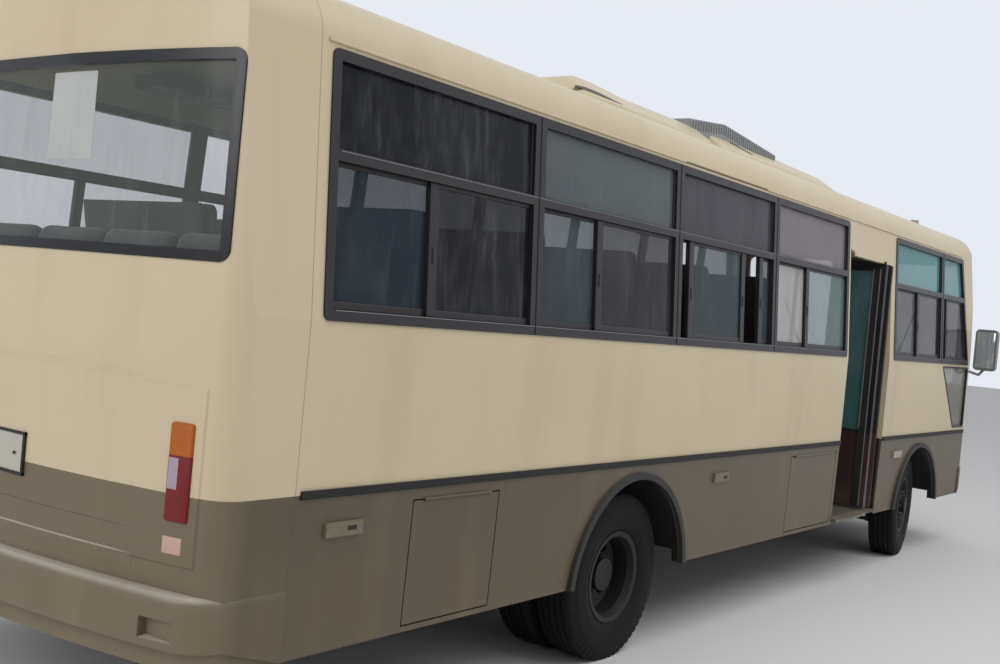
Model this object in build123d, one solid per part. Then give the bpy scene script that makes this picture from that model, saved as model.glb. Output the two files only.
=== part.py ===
"""A midibus with one folding side door between its axles, all sizes in millimetres.

X points forward, Y to the left and Z up. The origin is on the ground, under the
middle of the body, so that the bus stands on z = 0.
"""
from build123d import *
from math import cos, radians, sin, sqrt
import os

os.makedirs("parts", exist_ok=True)

# Driving dimensions of the whole vehicle
LENGTH = 8500
BODY_WIDTH = 2260
WHEELBASE = 4390
REAR_AXLE_X = -1577
FRONT_AXLE_X = REAR_AXLE_X + WHEELBASE

# Heights above the ground
SKIRT_Z = 414
STEP_Z = 448
BELT_Z = 950
SILL_Z = 1512
BAND_TOP_Z = 2392
ROOF_JOINT_Z = 2424
COVE_TOP_Z = 2596
ROOF_Z = 2672

# Body section, half widths and skin
HALF = BODY_WIDTH / 2
WALL = 45
SKIRT_TUCK = 10
TOP_LEAN = 65
COVE_TOP_Y = 905

# Body in plan: bowed ends with rounded corners
REAR_X = -4200
REAR_BOW_R = 5650
REAR_CORNER_R = 100
FRONT_X = 4200
FRONT_BOW_R = 7500
FRONT_CORNER_R = 130
REAR_ROOF_R = 190
REAR_LEAN = 22
FRONT_ROOF_R = 260
FRONT_RAKE = 230

# Joints between panels
REAR_CAP_X = -3791
FRONT_CAP_LINE = [(3743, 2760), (3765, 2424), (3990, 1490), (4002, 950), (4002, 380)]

# Window band on the door side: unit joints along the body
BAND_REAR_X = -3742
PILLARS_RIGHT = [-2555, -1345, -165]
BAND_DOOR_X = 1019
BAND_FRONT_X = 1978
PILLAR_FRONT = 3157
BAND_LEFT_PILLARS = [-2555, -1345, -165, 1019, 2088, 3157]
BAND_END_TOP_X = 3735
BAND_END_SILL_X = 3958
TRANSOM_Z = 2050
FRAME_BAR = 38
PILLAR_BAR = 76
FRAME_DEPTH = 34
FRAME_PROUD = 6
GLASS = 5
BAND_CORNER_R = 26

# Kerb window below the front side window
KERB_POINTS = [(3221, 1494), (3972, 1494), (3984, 985), (3668, 985)]
KERB_BAR = 16

# Entrance
DOOR_REAR_X = 1056
DOOR_FRONT_X = 1890
DOOR_TOP_Z = 2180
LEAF_THICK = 34
LEAF_RECESS = 40
LEAF_GAP = 8
LEAF_FRAME = 46
LEAF_RAIL_Z = 1000
DOOR_OPEN_DEG = 84
DOOR_PIVOT_IN = 36
DOOR_PIN_R = 9
DOOR_BARRELS = 9

# Rear window
REAR_WIN_HALF = 1074
REAR_WIN_Z = (1661, 2304)
REAR_WIN_BAR = 34
REAR_WIN_R = 40

# Windscreen
SCREEN_HALF = 1010
SCREEN_Z = (1300, 2380)
SCREEN_BAR = 30
SCREEN_R = 90

# Wheels and tyres, 16 inch rims
TYRE_R = 402
TYRE_W = 205
TYRE_SQUASH = 12
RIM_R = 203
AXLE_Z = TYRE_R - TYRE_SQUASH
FRONT_TRACK = 1900
REAR_OUTER_Y = 958
DUAL_SPACING = 236
STEER_REST_DEG = 8

# Wheel arches in the skirt
REAR_ARCH = (REAR_AXLE_X, 362, 516)
FRONT_ARCH = (FRONT_AXLE_X, 338, 526)
ARCH_TRIM = 32
LINER_GAP = 12
LINER_IN_Y = 540
LINER_WALL = 8

# Chassis
RAIL_Y = 415
RAIL_W = 65
RAIL_Z = (540, 720)
RAIL_WEB = 8
CROSS_X = [-3900, -2500, -700, 600, 1700, 3900]
FLOOR_Z = 940
FLOOR_THICK = 40

# Seats
SEAT_PITCH = 770
PAIR_W = 860
CUSHION_Z = 1370
SEAT_TOP_Z = 1960
BACK_LEAN_DEG = 11
SEAT_WALL_GAP = 62

SIDES = {"right": -1, "left": 1}


def block(xs, ys, zs):
    """A box between two planes along each axis."""
    centre = [(a + b) / 2 for a, b in (xs, ys, zs)]
    sizes = [abs(b - a) for a, b in (xs, ys, zs)]
    return Pos(*centre) * Box(*sizes)


def outline(points, radius=0):
    """A flat face inside a closed polygon, its corners rounded."""
    face = make_face(Polyline(*points, close=True))
    return fillet(face.vertices(), radius) if radius else face


def along_y(face, y0, y1):
    """Extrude a face drawn in X and Z from y0 down to y1."""
    plane = Plane(origin=(0, y0, 0), x_dir=(1, 0, 0), z_dir=(0, -1, 0))
    return extrude(plane * face, amount=y0 - y1)


def along_x(face, x0, x1):
    """Extrude a face drawn in Y and Z from x0 up to x1."""
    plane = Plane(origin=(x0, 0, 0), x_dir=(0, 1, 0), z_dir=(1, 0, 0))
    return extrude(plane * face, amount=x1 - x0)


def along_z(face, z0, z1):
    """Extrude a face drawn in X and Y from z0 up to z1."""
    return extrude(Plane.XY.offset(z0) * face, amount=z1 - z0)


def rod(start, end, radius):
    """A round bar between two points."""
    path = Vector(*end) - Vector(*start)
    plane = Plane(origin=start, z_dir=path)
    return extrude(plane * Circle(radius), amount=path.length)


def drum(x, z, radius, y0, y1):
    """A cylinder across the vehicle, between y0 and y1."""
    return Pos(x, (y0 + y1) / 2, z) * Rot(90, 0, 0) * Cylinder(radius, abs(y1 - y0))


HINGE_R = 7
HINGE_PIN_R = 3.5
HINGE_ROOM = 1
PIN_FIT = 0.05


def hinge(start, end, count, fixed, moving):
    """Barrels in turn on a fixed and a moving piece about one line, the pin on the fixed one."""
    start, end = Vector(*start), Vector(*end)
    step = (end - start) / count
    barrels, rooms = {0: [], 1: []}, {0: [], 1: []}
    for n in range(count):
        a, b = start + step * n, start + step * (n + 1)
        barrels[n % 2].append(rod(tuple(a + step * 0.01), tuple(b - step * 0.01), HINGE_R))
        rooms[n % 2].append(rod(tuple(a), tuple(b), HINGE_R + HINGE_ROOM))
    pin = rod(tuple(start), tuple(end), HINGE_PIN_R)
    fixed = fixed - rooms[1] + barrels[0] + pin
    moving = moving - rooms[0] + barrels[1] - rod(tuple(start), tuple(end), HINGE_PIN_R + PIN_FIT)
    return fixed, moving


def save(node, *shapes):
    """Write one node, each of its pieces a solid of its own."""
    solids = [s for shape in shapes for s in shape.solids()]
    piece = solids[0] if len(solids) == 1 else Compound(children=solids)
    export_step(piece, f"parts/{node}.step")


def section(inset):
    """The body's cross-section, drawn in by a wall thickness."""
    side = HALF - inset
    right = [(-side + SKIRT_TUCK, SKIRT_Z - inset), (-side, BELT_Z), (-side, SILL_Z),
             (-side + TOP_LEAN, BAND_TOP_Z), (-side + TOP_LEAN + 2, ROOF_JOINT_Z)]
    cove_end = (-COVE_TOP_Y + inset * 0.45, COVE_TOP_Z - inset * 0.9)
    cove_mid = (-side + TOP_LEAN + 48 + inset * 0.06, COVE_TOP_Z - 62 - inset * 0.45)
    left = [(-y, z) for y, z in reversed(right)]
    edges = [Polyline(*right), ThreePointArc(right[-1], cove_mid, cove_end),
             ThreePointArc(cove_end, (0, ROOF_Z - inset), (-cove_end[0], cove_end[1])),
             ThreePointArc((-cove_end[0], cove_end[1]), (-cove_mid[0], cove_mid[1]), left[0]),
             Polyline(*left), Line(left[-1], right[0])]
    return make_face(edges)


def plan(inset):
    """The body in plan, with its bowed ends and rounded corners."""
    side, rear, front = HALF - inset + 1, REAR_X + inset, FRONT_X - inset
    rear_edge = rear + REAR_BOW_R - sqrt(REAR_BOW_R ** 2 - side ** 2)
    front_edge = front - FRONT_BOW_R + sqrt(FRONT_BOW_R ** 2 - side ** 2)
    face = make_face([ThreePointArc((rear_edge, -side), (rear, 0), (rear_edge, side)),
                      Line((rear_edge, side), (front_edge, side)),
                      ThreePointArc((front_edge, side), (front, 0), (front_edge, -side)),
                      Line((front_edge, -side), (rear_edge, -side))])
    corners = face.vertices()
    face = fillet([v for v in corners if v.X < 0], REAR_CORNER_R - inset * 0.8)
    return fillet([v for v in face.vertices() if v.X > front_edge - 1 and abs(v.Y) > side - 1],
                  FRONT_CORNER_R - inset)


def elevation(inset):
    """The body from the side: raked screen, rounded roof ends."""
    rear, front, top = REAR_X + inset, FRONT_X - inset, ROOF_Z + 20 - inset
    base = SKIRT_Z - inset - 5
    points = [(rear - 5, base), (front + 5, base), (front + 5, SCREEN_Z[0]),
              (front + 5 - FRONT_RAKE, top), (rear - 5 + REAR_LEAN, top), (rear - 5, SILL_Z)]
    face = make_face(Polyline(*points, close=True))
    tops = [v for v in face.vertices() if v.Y > top - 1]
    face = fillet([v for v in tops if v.X < 0], REAR_ROOF_R - inset * 0.6)
    return fillet([v for v in face.vertices() if v.Y > top - 1 and v.X > FRONT_X - FRONT_RAKE - 60],
                  FRONT_ROOF_R - inset * 0.6)


def hull(inset):
    """The body's closed outer form, or its hollow when drawn in."""
    long = along_x(section(inset), REAR_X - 100, FRONT_X + 100)
    return long & along_z(plan(inset), SKIRT_Z - 100, ROOF_Z + 100) & along_y(
        elevation(inset), HALF + 50, -HALF - 50)


OUTER = hull(0)
INNER = hull(WALL)
SHELL = OUTER - INNER
BIG = 6000


def front_mask():
    """Everything ahead of the joint between sides and front cap."""
    points = FRONT_CAP_LINE + [(BIG, 380), (BIG, 2760)]
    return along_y(outline(points), HALF + 200, -HALF - 200)


def body_panels():
    """The shell split where its panels meet."""
    front = front_mask()
    rear_box = block((-BIG, REAR_CAP_X), (-BIG, BIG), (0, BIG))
    roof_box = block((REAR_CAP_X, BIG), (-BIG, BIG), (ROOF_JOINT_Z, BIG))
    rear_cap = SHELL & rear_box
    front_cap = SHELL & front
    middle = SHELL - rear_box - front
    roof = middle & roof_box
    sides = middle - roof_box
    return rear_cap, front_cap, roof, sides


def arch_cutters():
    """Round openings for the wheels, through both sides."""
    return [drum(x, z, r, -HALF - 60, HALF + 60) for x, z, r in (REAR_ARCH, FRONT_ARCH)]


def band_face(x0, x1_top, x1_sill, inset):
    """The outline of a run of windows, its front edge raked where it meets the screen pillar."""
    return outline([(x0 + inset, SILL_Z + inset), (x1_sill - inset, SILL_Z + inset),
                    (x1_top - inset, BAND_TOP_Z - inset), (x0 + inset, BAND_TOP_Z - inset)],
                   max(BAND_CORNER_R - inset, 6))


BANDS = {  # rear end, front end at the top and at the sill, joints between units
    ("right", "rear"): (BAND_REAR_X, BAND_DOOR_X, BAND_DOOR_X, PILLARS_RIGHT),
    ("right", "front"): (BAND_FRONT_X, BAND_END_TOP_X, BAND_END_SILL_X, [PILLAR_FRONT]),
    ("left", "whole"): (BAND_REAR_X, BAND_END_TOP_X, BAND_END_SILL_X, BAND_LEFT_PILLARS),
}


def band_cut(side, face):
    """A cutter through one side wall only."""
    return along_y(face, -HALF + 200, -HALF - 200) if side == "right" else along_y(
        face, HALF + 200, HALF - 200)


def leaning_slab(side, depth_out, depth_in):
    """The wall's own slab between two depths, so that frames and glass follow the lean."""
    outer = along_x(section(-depth_out), REAR_X, FRONT_X) if depth_out else along_x(
        section(0), REAR_X, FRONT_X)
    inner = along_x(section(depth_in), REAR_X - 10, FRONT_X + 10)
    half = block((-BIG, BIG), (-BIG, 0) if side == "right" else (0, BIG), (SILL_Z, BAND_TOP_Z))
    return (outer - inner) & half


def frame_and_glass(side, run):
    """One run of window frames with its panes."""
    x0, x1_top, x1_sill, pillars = BANDS[(side, run)]
    slab = leaning_slab(side, FRAME_PROUD, FRAME_DEPTH)
    outer = band_cut(side, band_face(x0, x1_top, x1_sill, 0))
    inner = band_cut(side, band_face(x0, x1_top, x1_sill, FRAME_BAR))
    wall = (-HALF - 200, -HALF + 200) if side == "right" else (HALF - 200, HALF + 200)
    bars = [block((x - PILLAR_BAR / 2, x + PILLAR_BAR / 2), wall, (SILL_Z, BAND_TOP_Z)) for x in pillars]
    transom = block((x0, x1_sill), wall, (TRANSOM_Z - FRAME_BAR / 2, TRANSOM_Z + FRAME_BAR / 2))
    holes = inner - bars - transom
    frame = (slab & outer) - holes
    pane_slab = leaning_slab(side, -14, 14 + GLASS)
    panes = pane_slab & holes
    return frame, panes


def upper_sides(sides):
    """The cream upper walls and the panel over the door, with their windows cut."""
    upper = sides & block((-BIG, BIG), (-BIG, BIG), (BELT_Z, BIG))
    for key, (x0, x1_top, x1_sill, _) in BANDS.items():
        upper -= band_cut(key[0], band_face(x0, x1_top, x1_sill, 0))
    for side in SIDES:
        upper -= band_cut(side, outline(KERB_POINTS, 14))
    right = upper & block((-BIG, BIG), (-BIG, 0), (0, BIG))
    left = upper & block((-BIG, BIG), (0, BIG), (0, BIG))
    doorway = block((DOOR_REAR_X, DOOR_FRONT_X), (-BIG, 0), (0, BIG))
    header = right & doorway & block((-BIG, BIG), (-BIG, BIG), (DOOR_TOP_Z, BIG))
    return right - doorway, left, header


def skirts(sides):
    """The lower walls with their wheel arches, the locker openings and the doorway."""
    lower = sides & block((-BIG, BIG), (-BIG, BIG), (0, BELT_Z))
    for cutter in arch_cutters():
        lower -= cutter
    right = lower & block((-BIG, BIG), (-BIG, 0), (0, BIG))
    right -= block((DOOR_REAR_X, DOOR_FRONT_X), (-BIG, 0), (0, BIG))
    left = lower & block((-BIG, BIG), (0, BIG), (0, BIG))
    for x0, x1 in LOCKERS.values():
        right -= block((x0, x1), (-BIG, 0), LOCKER_Z)
    return right, left


LOCKER_Z = (434, 896)
LOCKERS = {"locker_door_rear": (-3210, -2687), "locker_door_mid": (261, 1011)}
LOCKER_GAP = 6
LOCKER_BARRELS = 7


def locker_doors(sides, skirt):
    """Flaps cut from the skirt itself, each as thick as the wall and hung on its top edge."""
    wall = sides & block((-BIG, BIG), (-BIG, 0), (0, BELT_Z))
    doors = {}
    for name, (x0, x1) in LOCKERS.items():
        gap = LOCKER_GAP
        door = wall & block((x0 + gap, x1 - gap), (-BIG, 0), (LOCKER_Z[0] + gap, LOCKER_Z[1] - gap))
        line = [(x, -HALF, LOCKER_Z[1] - gap / 2) for x in (x0 + 60, x1 - 60)]
        skirt, doors[name] = hinge(*line, LOCKER_BARRELS, skirt, door)
    return skirt, doors


def kerb_windows():
    """The low windows beside the driver and the co-driver: frame and pane."""
    frames, panes = [], []
    for side in SIDES:
        face = outline(KERB_POINTS, 14)
        hole = offset(face, -KERB_BAR)
        y0, y1 = (-HALF + 40, -HALF - 4) if side == "right" else (HALF + 4, HALF - 40)
        frames.append(along_y(face, y0, y1) - along_y(hole, y0, y1))
        mid = -HALF + 18 if side == "right" else HALF - 18 + GLASS
        panes.append(along_y(hole, mid, mid - GLASS))
    return frames, panes


def end_opening(half, zs, radius, x0, x1, inset=0):
    """A rounded opening in a rear or front wall."""
    face = Pos(0, (zs[0] + zs[1]) / 2) * RectangleRounded(
        2 * (half - inset), zs[1] - zs[0] - 2 * inset, max(radius - inset, 8))
    return along_x(face, x0, x1)


def end_window(half, zs, radius, bar, x0, x1):
    """A rubber seal and a bowed pane that follow the end wall."""
    seal_zone = end_opening(half, zs, radius, x0, x1)
    pane_zone = end_opening(half, zs, radius, x0, x1, bar)
    seal = (hull(-5) - hull(30)) & (seal_zone - pane_zone)
    pane = (hull(12) - hull(12 + GLASS)) & pane_zone
    return seal, pane


def glazing_and_caps(rear_cap, front_cap):
    """Cut the end windows and fill them."""
    rear_zone = (REAR_X - 200, REAR_X + 330)
    front_zone = (FRONT_X - 560, FRONT_X + 200)
    rear_cap -= end_opening(REAR_WIN_HALF, REAR_WIN_Z, REAR_WIN_R, *rear_zone)
    front_cap -= end_opening(SCREEN_HALF, SCREEN_Z, SCREEN_R, *front_zone)
    rear = end_window(REAR_WIN_HALF, REAR_WIN_Z, REAR_WIN_R, REAR_WIN_BAR, *rear_zone)
    front = end_window(SCREEN_HALF, SCREEN_Z, SCREEN_R, SCREEN_BAR, *front_zone)
    return rear_cap, front_cap, rear, front


# Rub rail along the belt, and the trims round the arches
RAIL_PROUD = 9
RUB_Z = (936, 964)


def rub_rails():
    """A black strip on each side at the belt, broken at the doorway."""
    strips = []
    for x0, x1 in ((REAR_CAP_X + 20, DOOR_REAR_X - 4), (DOOR_FRONT_X + 4, FRONT_CAP_LINE[3][0])):
        strips.append(block((x0, x1), (-HALF - RAIL_PROUD, -HALF + 0.0), RUB_Z))
    strips.append(block((REAR_CAP_X + 20, FRONT_CAP_LINE[3][0]), (HALF, HALF + RAIL_PROUD), RUB_Z))
    return [strip - OUTER for strip in strips]


def arch_trims():
    """Rubber lips round the wheel openings, above the skirt's lower edge."""
    trims = []
    for x, z, r in (REAR_ARCH, FRONT_ARCH):
        ring = Circle(r + ARCH_TRIM - 8) - Circle(r - 8)
        face = Pos(x, z) * ring & Pos(x, SKIRT_Z + 500) * Rectangle(2000, 1000)
        for side in SIDES.values():
            y0, y1 = (-HALF + 30, -HALF - 14) if side < 0 else (HALF + 14, HALF - 30)
            trims.append(along_y(face, y0, y1) - SHELL)
    return trims


def arch_liners():
    """The curved housings over the wheels, each with its inner wall."""
    liners = []
    for x, z, r in (REAR_ARCH, FRONT_ARCH):
        top = r + LINER_GAP
        half_disc = Pos(x, z) * Circle(top + LINER_WALL)
        shell_face = half_disc - Pos(x, z) * Circle(top)
        keep = Pos(x, 474 + 500) * Rectangle(3000, 1000)
        for side in SIDES:
            y0, y1 = (-LINER_IN_Y, -HALF) if side == "right" else (HALF, LINER_IN_Y)
            w0, w1 = (-LINER_IN_Y + LINER_WALL, -LINER_IN_Y) if side == "right" else (
                LINER_IN_Y, LINER_IN_Y - LINER_WALL)
            skin = along_y(shell_face & keep, y0, y1)
            wall = along_y(half_disc & keep, w0, w1)
            liners.append((skin + wall) & INNER)
    return liners


# Bumpers
BUMPER_PROUD = 50
REAR_BUMPER_Z = (418, 658)
FRONT_BUMPER_Z = (400, 660)


def bumper(zs, keep):
    """A moulded bumper wrapped round one end of the body."""
    wrap = Pos(0, 0, 0) * along_z(offset(plan(0), BUMPER_PROUD), zs[0], zs[1])
    body = wrap - along_z(plan(0), zs[0] - 1, zs[1] + 1)
    return body & keep


def bumpers():
    """Rear and front bumpers, with the rear step pockets."""
    rear = bumper(REAR_BUMPER_Z, block((-BIG, REAR_CAP_X + 6), (-BIG, BIG), (0, BIG)))
    front = bumper(FRONT_BUMPER_Z, block((FRONT_CAP_LINE[3][0] + 4, BIG), (-BIG, BIG), (0, BIG)))
    return rear, front


def lamp_block(y, zs, half_w, deep, proud):
    """A lamp let into the rear face, its lens parallel to the wall."""
    zone = block((-BIG, 0), (y - half_w, y + half_w), zs)
    return (hull(-proud) - hull(deep)) & zone


def tail_lamps():
    """Tall lamp clusters and small square reflectors at the rear corners."""
    pieces = []
    for side in SIDES.values():
        pieces.append(lamp_block(side * 962, (868, 1168), 56, 30, 12))
        pieces.append(lamp_block(side * 958, (768, 818), 47, 0, 10))
    return pieces


def head_lamps():
    """Round lamps in the front panel with the indicators outside them."""
    pieces = []
    for side in SIDES.values():
        lens = Pos(FRONT_X - 200, side * 800, 860) * Rot(0, 90, 0) * Cylinder(92, 500)
        pieces.append((hull(-10) - hull(30)) & lens)
        zone = block((3500, BIG), (side * 940 - 42, side * 940 + 42), (800, 920))
        pieces.append((hull(-8) - hull(30)) & zone)
    return pieces


SIDE_MARKERS = [(-3563, 827), (-691, 829), (2259, 825)]


def marker_lamps():
    """Side markers on the skirt and a small lamp on the roof's front edge."""
    pieces = []
    for side in SIDES.values():
        for x, z in SIDE_MARKERS:
            y = side * (HALF - 3)
            pieces.append(block((x - 88, x + 88), (y, y + side * 14), (z - 24, z + 24)) - OUTER)
        dome = Pos(3525, side * 700, ROOF_Z - 30) * Cylinder(34, 90)
        pieces.append(dome - OUTER)
    return pieces


# Roof units
POD_HALF = 560
PODS = {  # name: points of the side view (x, height above the roof)
    "roof_pod_rear": [(-1835, 0), (-1595, 132), (-1475, 150), (-75, 118), (-65, 0)],
    "roof_pod_front": [(-45, 0), (-35, 150), (585, 168), (1615, 120), (2425, 0)],
}


MIRROR_Z = (1480, 1830)
MIRROR_ARM_R = 11


def roof_pod(points):
    """A low unit on the roof, its flanks drawn in towards the top."""
    base = ROOF_Z - 70
    profile = [(x, ROOF_Z + h if h else base) for x, h in points]
    side_view = along_y(outline(profile), POD_HALF, -POD_HALF)
    end_view = outline([(-POD_HALF, base), (POD_HALF, base), (POD_HALF - 90, ROOF_Z + 200),
                        (-POD_HALF + 90, ROOF_Z + 200)])
    pod = side_view & along_x(end_view, -3000, 3500)
    return pod - OUTER


def mirrors():
    """Outside mirrors on bent arms at the front corners."""
    pieces = []
    for side in SIDES.values():
        root = (FRONT_X - 186, side * (HALF - 30), 1470)
        elbow = (FRONT_X - 140, side * (HALF + 70), 1440)
        foot = (FRONT_X - 125, side * (HALF + 108), MIRROR_Z[0] + 12)
        arm = rod(root, elbow, MIRROR_ARM_R) + rod(elbow, foot, MIRROR_ARM_R) + Pos(*elbow) * Sphere(MIRROR_ARM_R)
        head = block((foot[0] - 32, foot[0] + 32), (side * (HALF + 20), side * (HALF + 200)), MIRROR_Z)
        head = fillet(head.edges().filter_by(Axis.X), 34)
        pieces += [arm - OUTER - head, head]
    return pieces


LEAF_Y = -HALF + LEAF_RECESS


def leaf(x_hinge, length, toward):
    """A door leaf in its closed place: frame with a panel below and a hole for the pane."""
    x0, x1 = sorted((x_hinge, x_hinge + toward * length))
    ys = (LEAF_Y, LEAF_Y + LEAF_THICK)
    zs = (STEP_Z + 14, DOOR_TOP_Z - LEAF_GAP)
    hole_x = (x0 + LEAF_FRAME, x1 - LEAF_FRAME)
    hole_z = (LEAF_RAIL_Z, zs[1] - LEAF_FRAME)
    panel = block((x0, x1), ys, zs) - block(hole_x, (-HALF - 10, 0), hole_z)
    pane = block(hole_x, (LEAF_Y + 14, LEAF_Y + 14 + GLASS), hole_z)
    return panel, pane


LEAF_PIVOT = (DOOR_FRONT_X - DOOR_PIVOT_IN, LEAF_Y + LEAF_THICK / 2)
LEAF_SPAN = DOOR_FRONT_X - DOOR_REAR_X - 2 * LEAF_GAP
FRONT_LEAF_X = (DOOR_FRONT_X - LEAF_GAP - LEAF_SPAN / 2 + 1.5, DOOR_FRONT_X - LEAF_GAP)
REAR_LEAF_X = (DOOR_REAR_X + LEAF_GAP, FRONT_LEAF_X[0] - 3)
FOLD_PIVOT = ((FRONT_LEAF_X[0] + REAR_LEAF_X[1]) / 2, LEAF_Y)


def turn(shape, pivot, angle):
    """Turn a shape about an upright line."""
    return Pos(pivot[0], pivot[1], 0) * Rot(0, 0, angle) * Pos(-pivot[0], -pivot[1], 0) * shape


def door_leaves():
    """Both leaves folded open: the front one swings in, the rear one folds back on it."""
    front = leaf(FRONT_LEAF_X[0], FRONT_LEAF_X[1] - FRONT_LEAF_X[0], 1)
    rear = leaf(REAR_LEAF_X[0], REAR_LEAF_X[1] - REAR_LEAF_X[0], 1)
    fold = [(*FOLD_PIVOT, z) for z in (STEP_Z + 60, DOOR_TOP_Z - 60)]
    foot = Pos(*LEAF_PIVOT, STEP_Z) * Cylinder(DOOR_PIN_R, 60)
    hung, folding = hinge(*fold, DOOR_BARRELS, front[0] + foot, rear[0])
    front, rear = (hung, front[1]), (folding, rear[1])
    front = [turn(s, LEAF_PIVOT, -DOOR_OPEN_DEG) for s in front]
    rear = [turn(turn(s, FOLD_PIVOT, 2 * DOOR_OPEN_DEG), LEAF_PIVOT, -DOOR_OPEN_DEG) for s in rear]
    return front, rear


# Steps behind the doorway: depth of each tread from the outside
STEP_DEPTHS = [470, 205]
STEP_RISE = (FLOOR_Z - STEP_Z) / len(STEP_DEPTHS)
WELL_X = (DOOR_REAR_X - 12, DOOR_FRONT_X + 62)
STEP_PROUD = 12


def well_box(x_pad=0):
    """The space that the steps take out of the floor."""
    depth = sum(STEP_DEPTHS)
    return block((WELL_X[0] - x_pad, WELL_X[1] + x_pad), (-HALF, -HALF + depth), (0, FLOOR_Z + 5))


def entry_steps():
    """Folded plate treads and risers between the side walls of the step well."""
    plate, y, z = 10, -HALF, STEP_Z
    steps = None
    for depth in STEP_DEPTHS:
        tread = block(WELL_X, (y, y + depth), (z - plate, z))
        riser = block(WELL_X, (y + depth - plate, y + depth), (z - plate, z + STEP_RISE))
        steps = tread + riser if steps is None else steps + tread + riser
        y += depth
        z += STEP_RISE
    side_view = outline([(-HALF, STEP_Z - plate), (-HALF + STEP_DEPTHS[0], STEP_Z - plate),
                         (-HALF + STEP_DEPTHS[0], STEP_Z + STEP_RISE - plate),
                         (y, STEP_Z + STEP_RISE - plate), (y, FLOOR_Z), (-HALF, FLOOR_Z)])
    for x in (WELL_X[0], WELL_X[1] - plate):
        steps += along_x(side_view, x, x + plate)
    sill = block((DOOR_REAR_X, DOOR_FRONT_X), (-HALF - STEP_PROUD, -HALF + WALL + 5), (STEP_Z - plate, STEP_Z))
    socket = Pos(*LEAF_PIVOT, STEP_Z) * Cylinder(DOOR_PIN_R + PIN_FIT, 100)
    return (steps & INNER) + sill - socket


def chassis_frame():
    """Two channel rails with cross members."""
    frame = None
    for side in SIDES.values():
        y = side * RAIL_Y
        rail = block((-3960, 3960), (y - RAIL_W / 2, y + RAIL_W / 2), RAIL_Z)
        web = side * RAIL_WEB
        inner = block((-3970, 3970), (y - RAIL_W / 2 - web, y + RAIL_W / 2 - web),
                      (RAIL_Z[0] + RAIL_WEB, RAIL_Z[1] - RAIL_WEB))
        rail -= inner
        frame = rail if frame is None else frame + rail
    reach = RAIL_Y + RAIL_W / 2 - RAIL_WEB
    for x in CROSS_X:
        frame += block((x - 35, x + 35), (-reach, reach), (RAIL_Z[0] + 80, RAIL_Z[1] - 20))
    return frame


TOW_HOLE_R = 14
TOW_PLATE = 22
TOW_EYE_R = 38
TOW_Z = 350
TOW_X = LENGTH / 2 - 60


def tow_eyes():
    """A plate with a round eye under each end of the frame, below the bumper."""
    eyes = []
    y = RAIL_Y + TOW_PLATE / 2
    for end in (-1, 1):
        plate = outline([(end * 3860, RAIL_Z[0]), (end * 3860, 470), (end * 4080, TOW_Z - TOW_EYE_R),
                         (end * TOW_X, TOW_Z - TOW_EYE_R), (end * TOW_X, TOW_Z + TOW_EYE_R),
                         (end * 4090, TOW_Z + TOW_EYE_R), (end * 3955, RAIL_Z[0])])
        eye = along_y(plate, y, y - TOW_PLATE) + drum(end * TOW_X, TOW_Z, TOW_EYE_R, y - TOW_PLATE, y)
        eyes.append(eye - drum(end * TOW_X, TOW_Z, TOW_HOLE_R, y - 2 * TOW_PLATE, y + TOW_PLATE))
    return eyes


BEARERS_X = [-3880, -3300, -2400, -700, -200, 400, 1000, 1995, 2200, 3620, 3880]


def floor_bearers():
    """Cross beams between the rails and the floor."""
    top = FLOOR_Z - FLOOR_THICK
    beams = [block((x - 30, x + 30), (-HALF, HALF), (RAIL_Z[1], top)) for x in BEARERS_X]
    return [beam & INNER for beam in beams]


ENGINE_X = (2445, 3525)
ENGINE_Y = 330
HUMP_Z = 1240


def floor_deck():
    """The cabin floor with its step well and the raised cover over the engine."""
    slab = block((-BIG, BIG), (-BIG, BIG), (FLOOR_Z - FLOOR_THICK, FLOOR_Z)) & INNER
    slab -= well_box()
    hump = block((ENGINE_X[0] - 40, ENGINE_X[1] + 40), (-ENGINE_Y - 60, ENGINE_Y + 60), (FLOOR_Z - 1, HUMP_Z))
    hump = fillet(hump.edges().filter_by(Axis.Z), 60)
    hollow = block((ENGINE_X[0] - 15, ENGINE_X[1] + 15), (-ENGINE_Y - 30, ENGINE_Y + 30),
                   (FLOOR_Z - FLOOR_THICK - 5, HUMP_Z - 25))
    return slab + hump - hollow


def seat_pair(x, y):
    """One pair of seats facing forward: cushion and back pads, and their steel stand."""
    half = PAIR_W / 2
    cushion = block((x - 30, x + 410), (y - half, y + half), (CUSHION_Z - 110, CUSHION_Z))
    cushion = fillet(cushion.edges().filter_by(Axis.Y), 30)
    tall = SEAT_TOP_Z - CUSHION_Z
    back = Pos(x - 75, y, CUSHION_Z + tall / 2) * Rot(0, -BACK_LEAN_DEG, 0) * Box(100, PAIR_W, tall)
    back = fillet(back.edges().filter_by(Axis.Y), 34)
    legs = None
    for lx in (x + 40, x + 330):
        post = block((lx - 20, lx + 20), (y - 25, y + 25), (FLOOR_Z, CUSHION_Z - 150))
        legs = post if legs is None else legs + post
    tray = block((x - 62, x + 400), (y - half + 30, y + half - 30), (CUSHION_Z - 150, CUSHION_Z - 110.3))
    shell = Pos(x - 75, y, CUSHION_Z + tall / 2) * Rot(0, -BACK_LEAN_DEG, 0) * Pos(-56.3, 0, -82) * Box(
        12, PAIR_W - 30, tall + 140)
    return [cushion, back], legs + tray + shell


SEATS = {  # side: where each pair's hip point stands
    "right": [-3030 + SEAT_PITCH * n for n in range(5)],
    "left": [-3030 + SEAT_PITCH * n for n in range(7)],
}


def seats():
    """Every passenger pair, the driver's seat and the rear bench."""
    pads, stands = [], []
    for side, xs in SEATS.items():
        y = SIDES[side] * (HALF - WALL - SEAT_WALL_GAP - PAIR_W / 2)
        for x in xs:
            soft, stand = seat_pair(x, y)
            pads += soft
            stands.append(stand)
    return pads, stands


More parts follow.
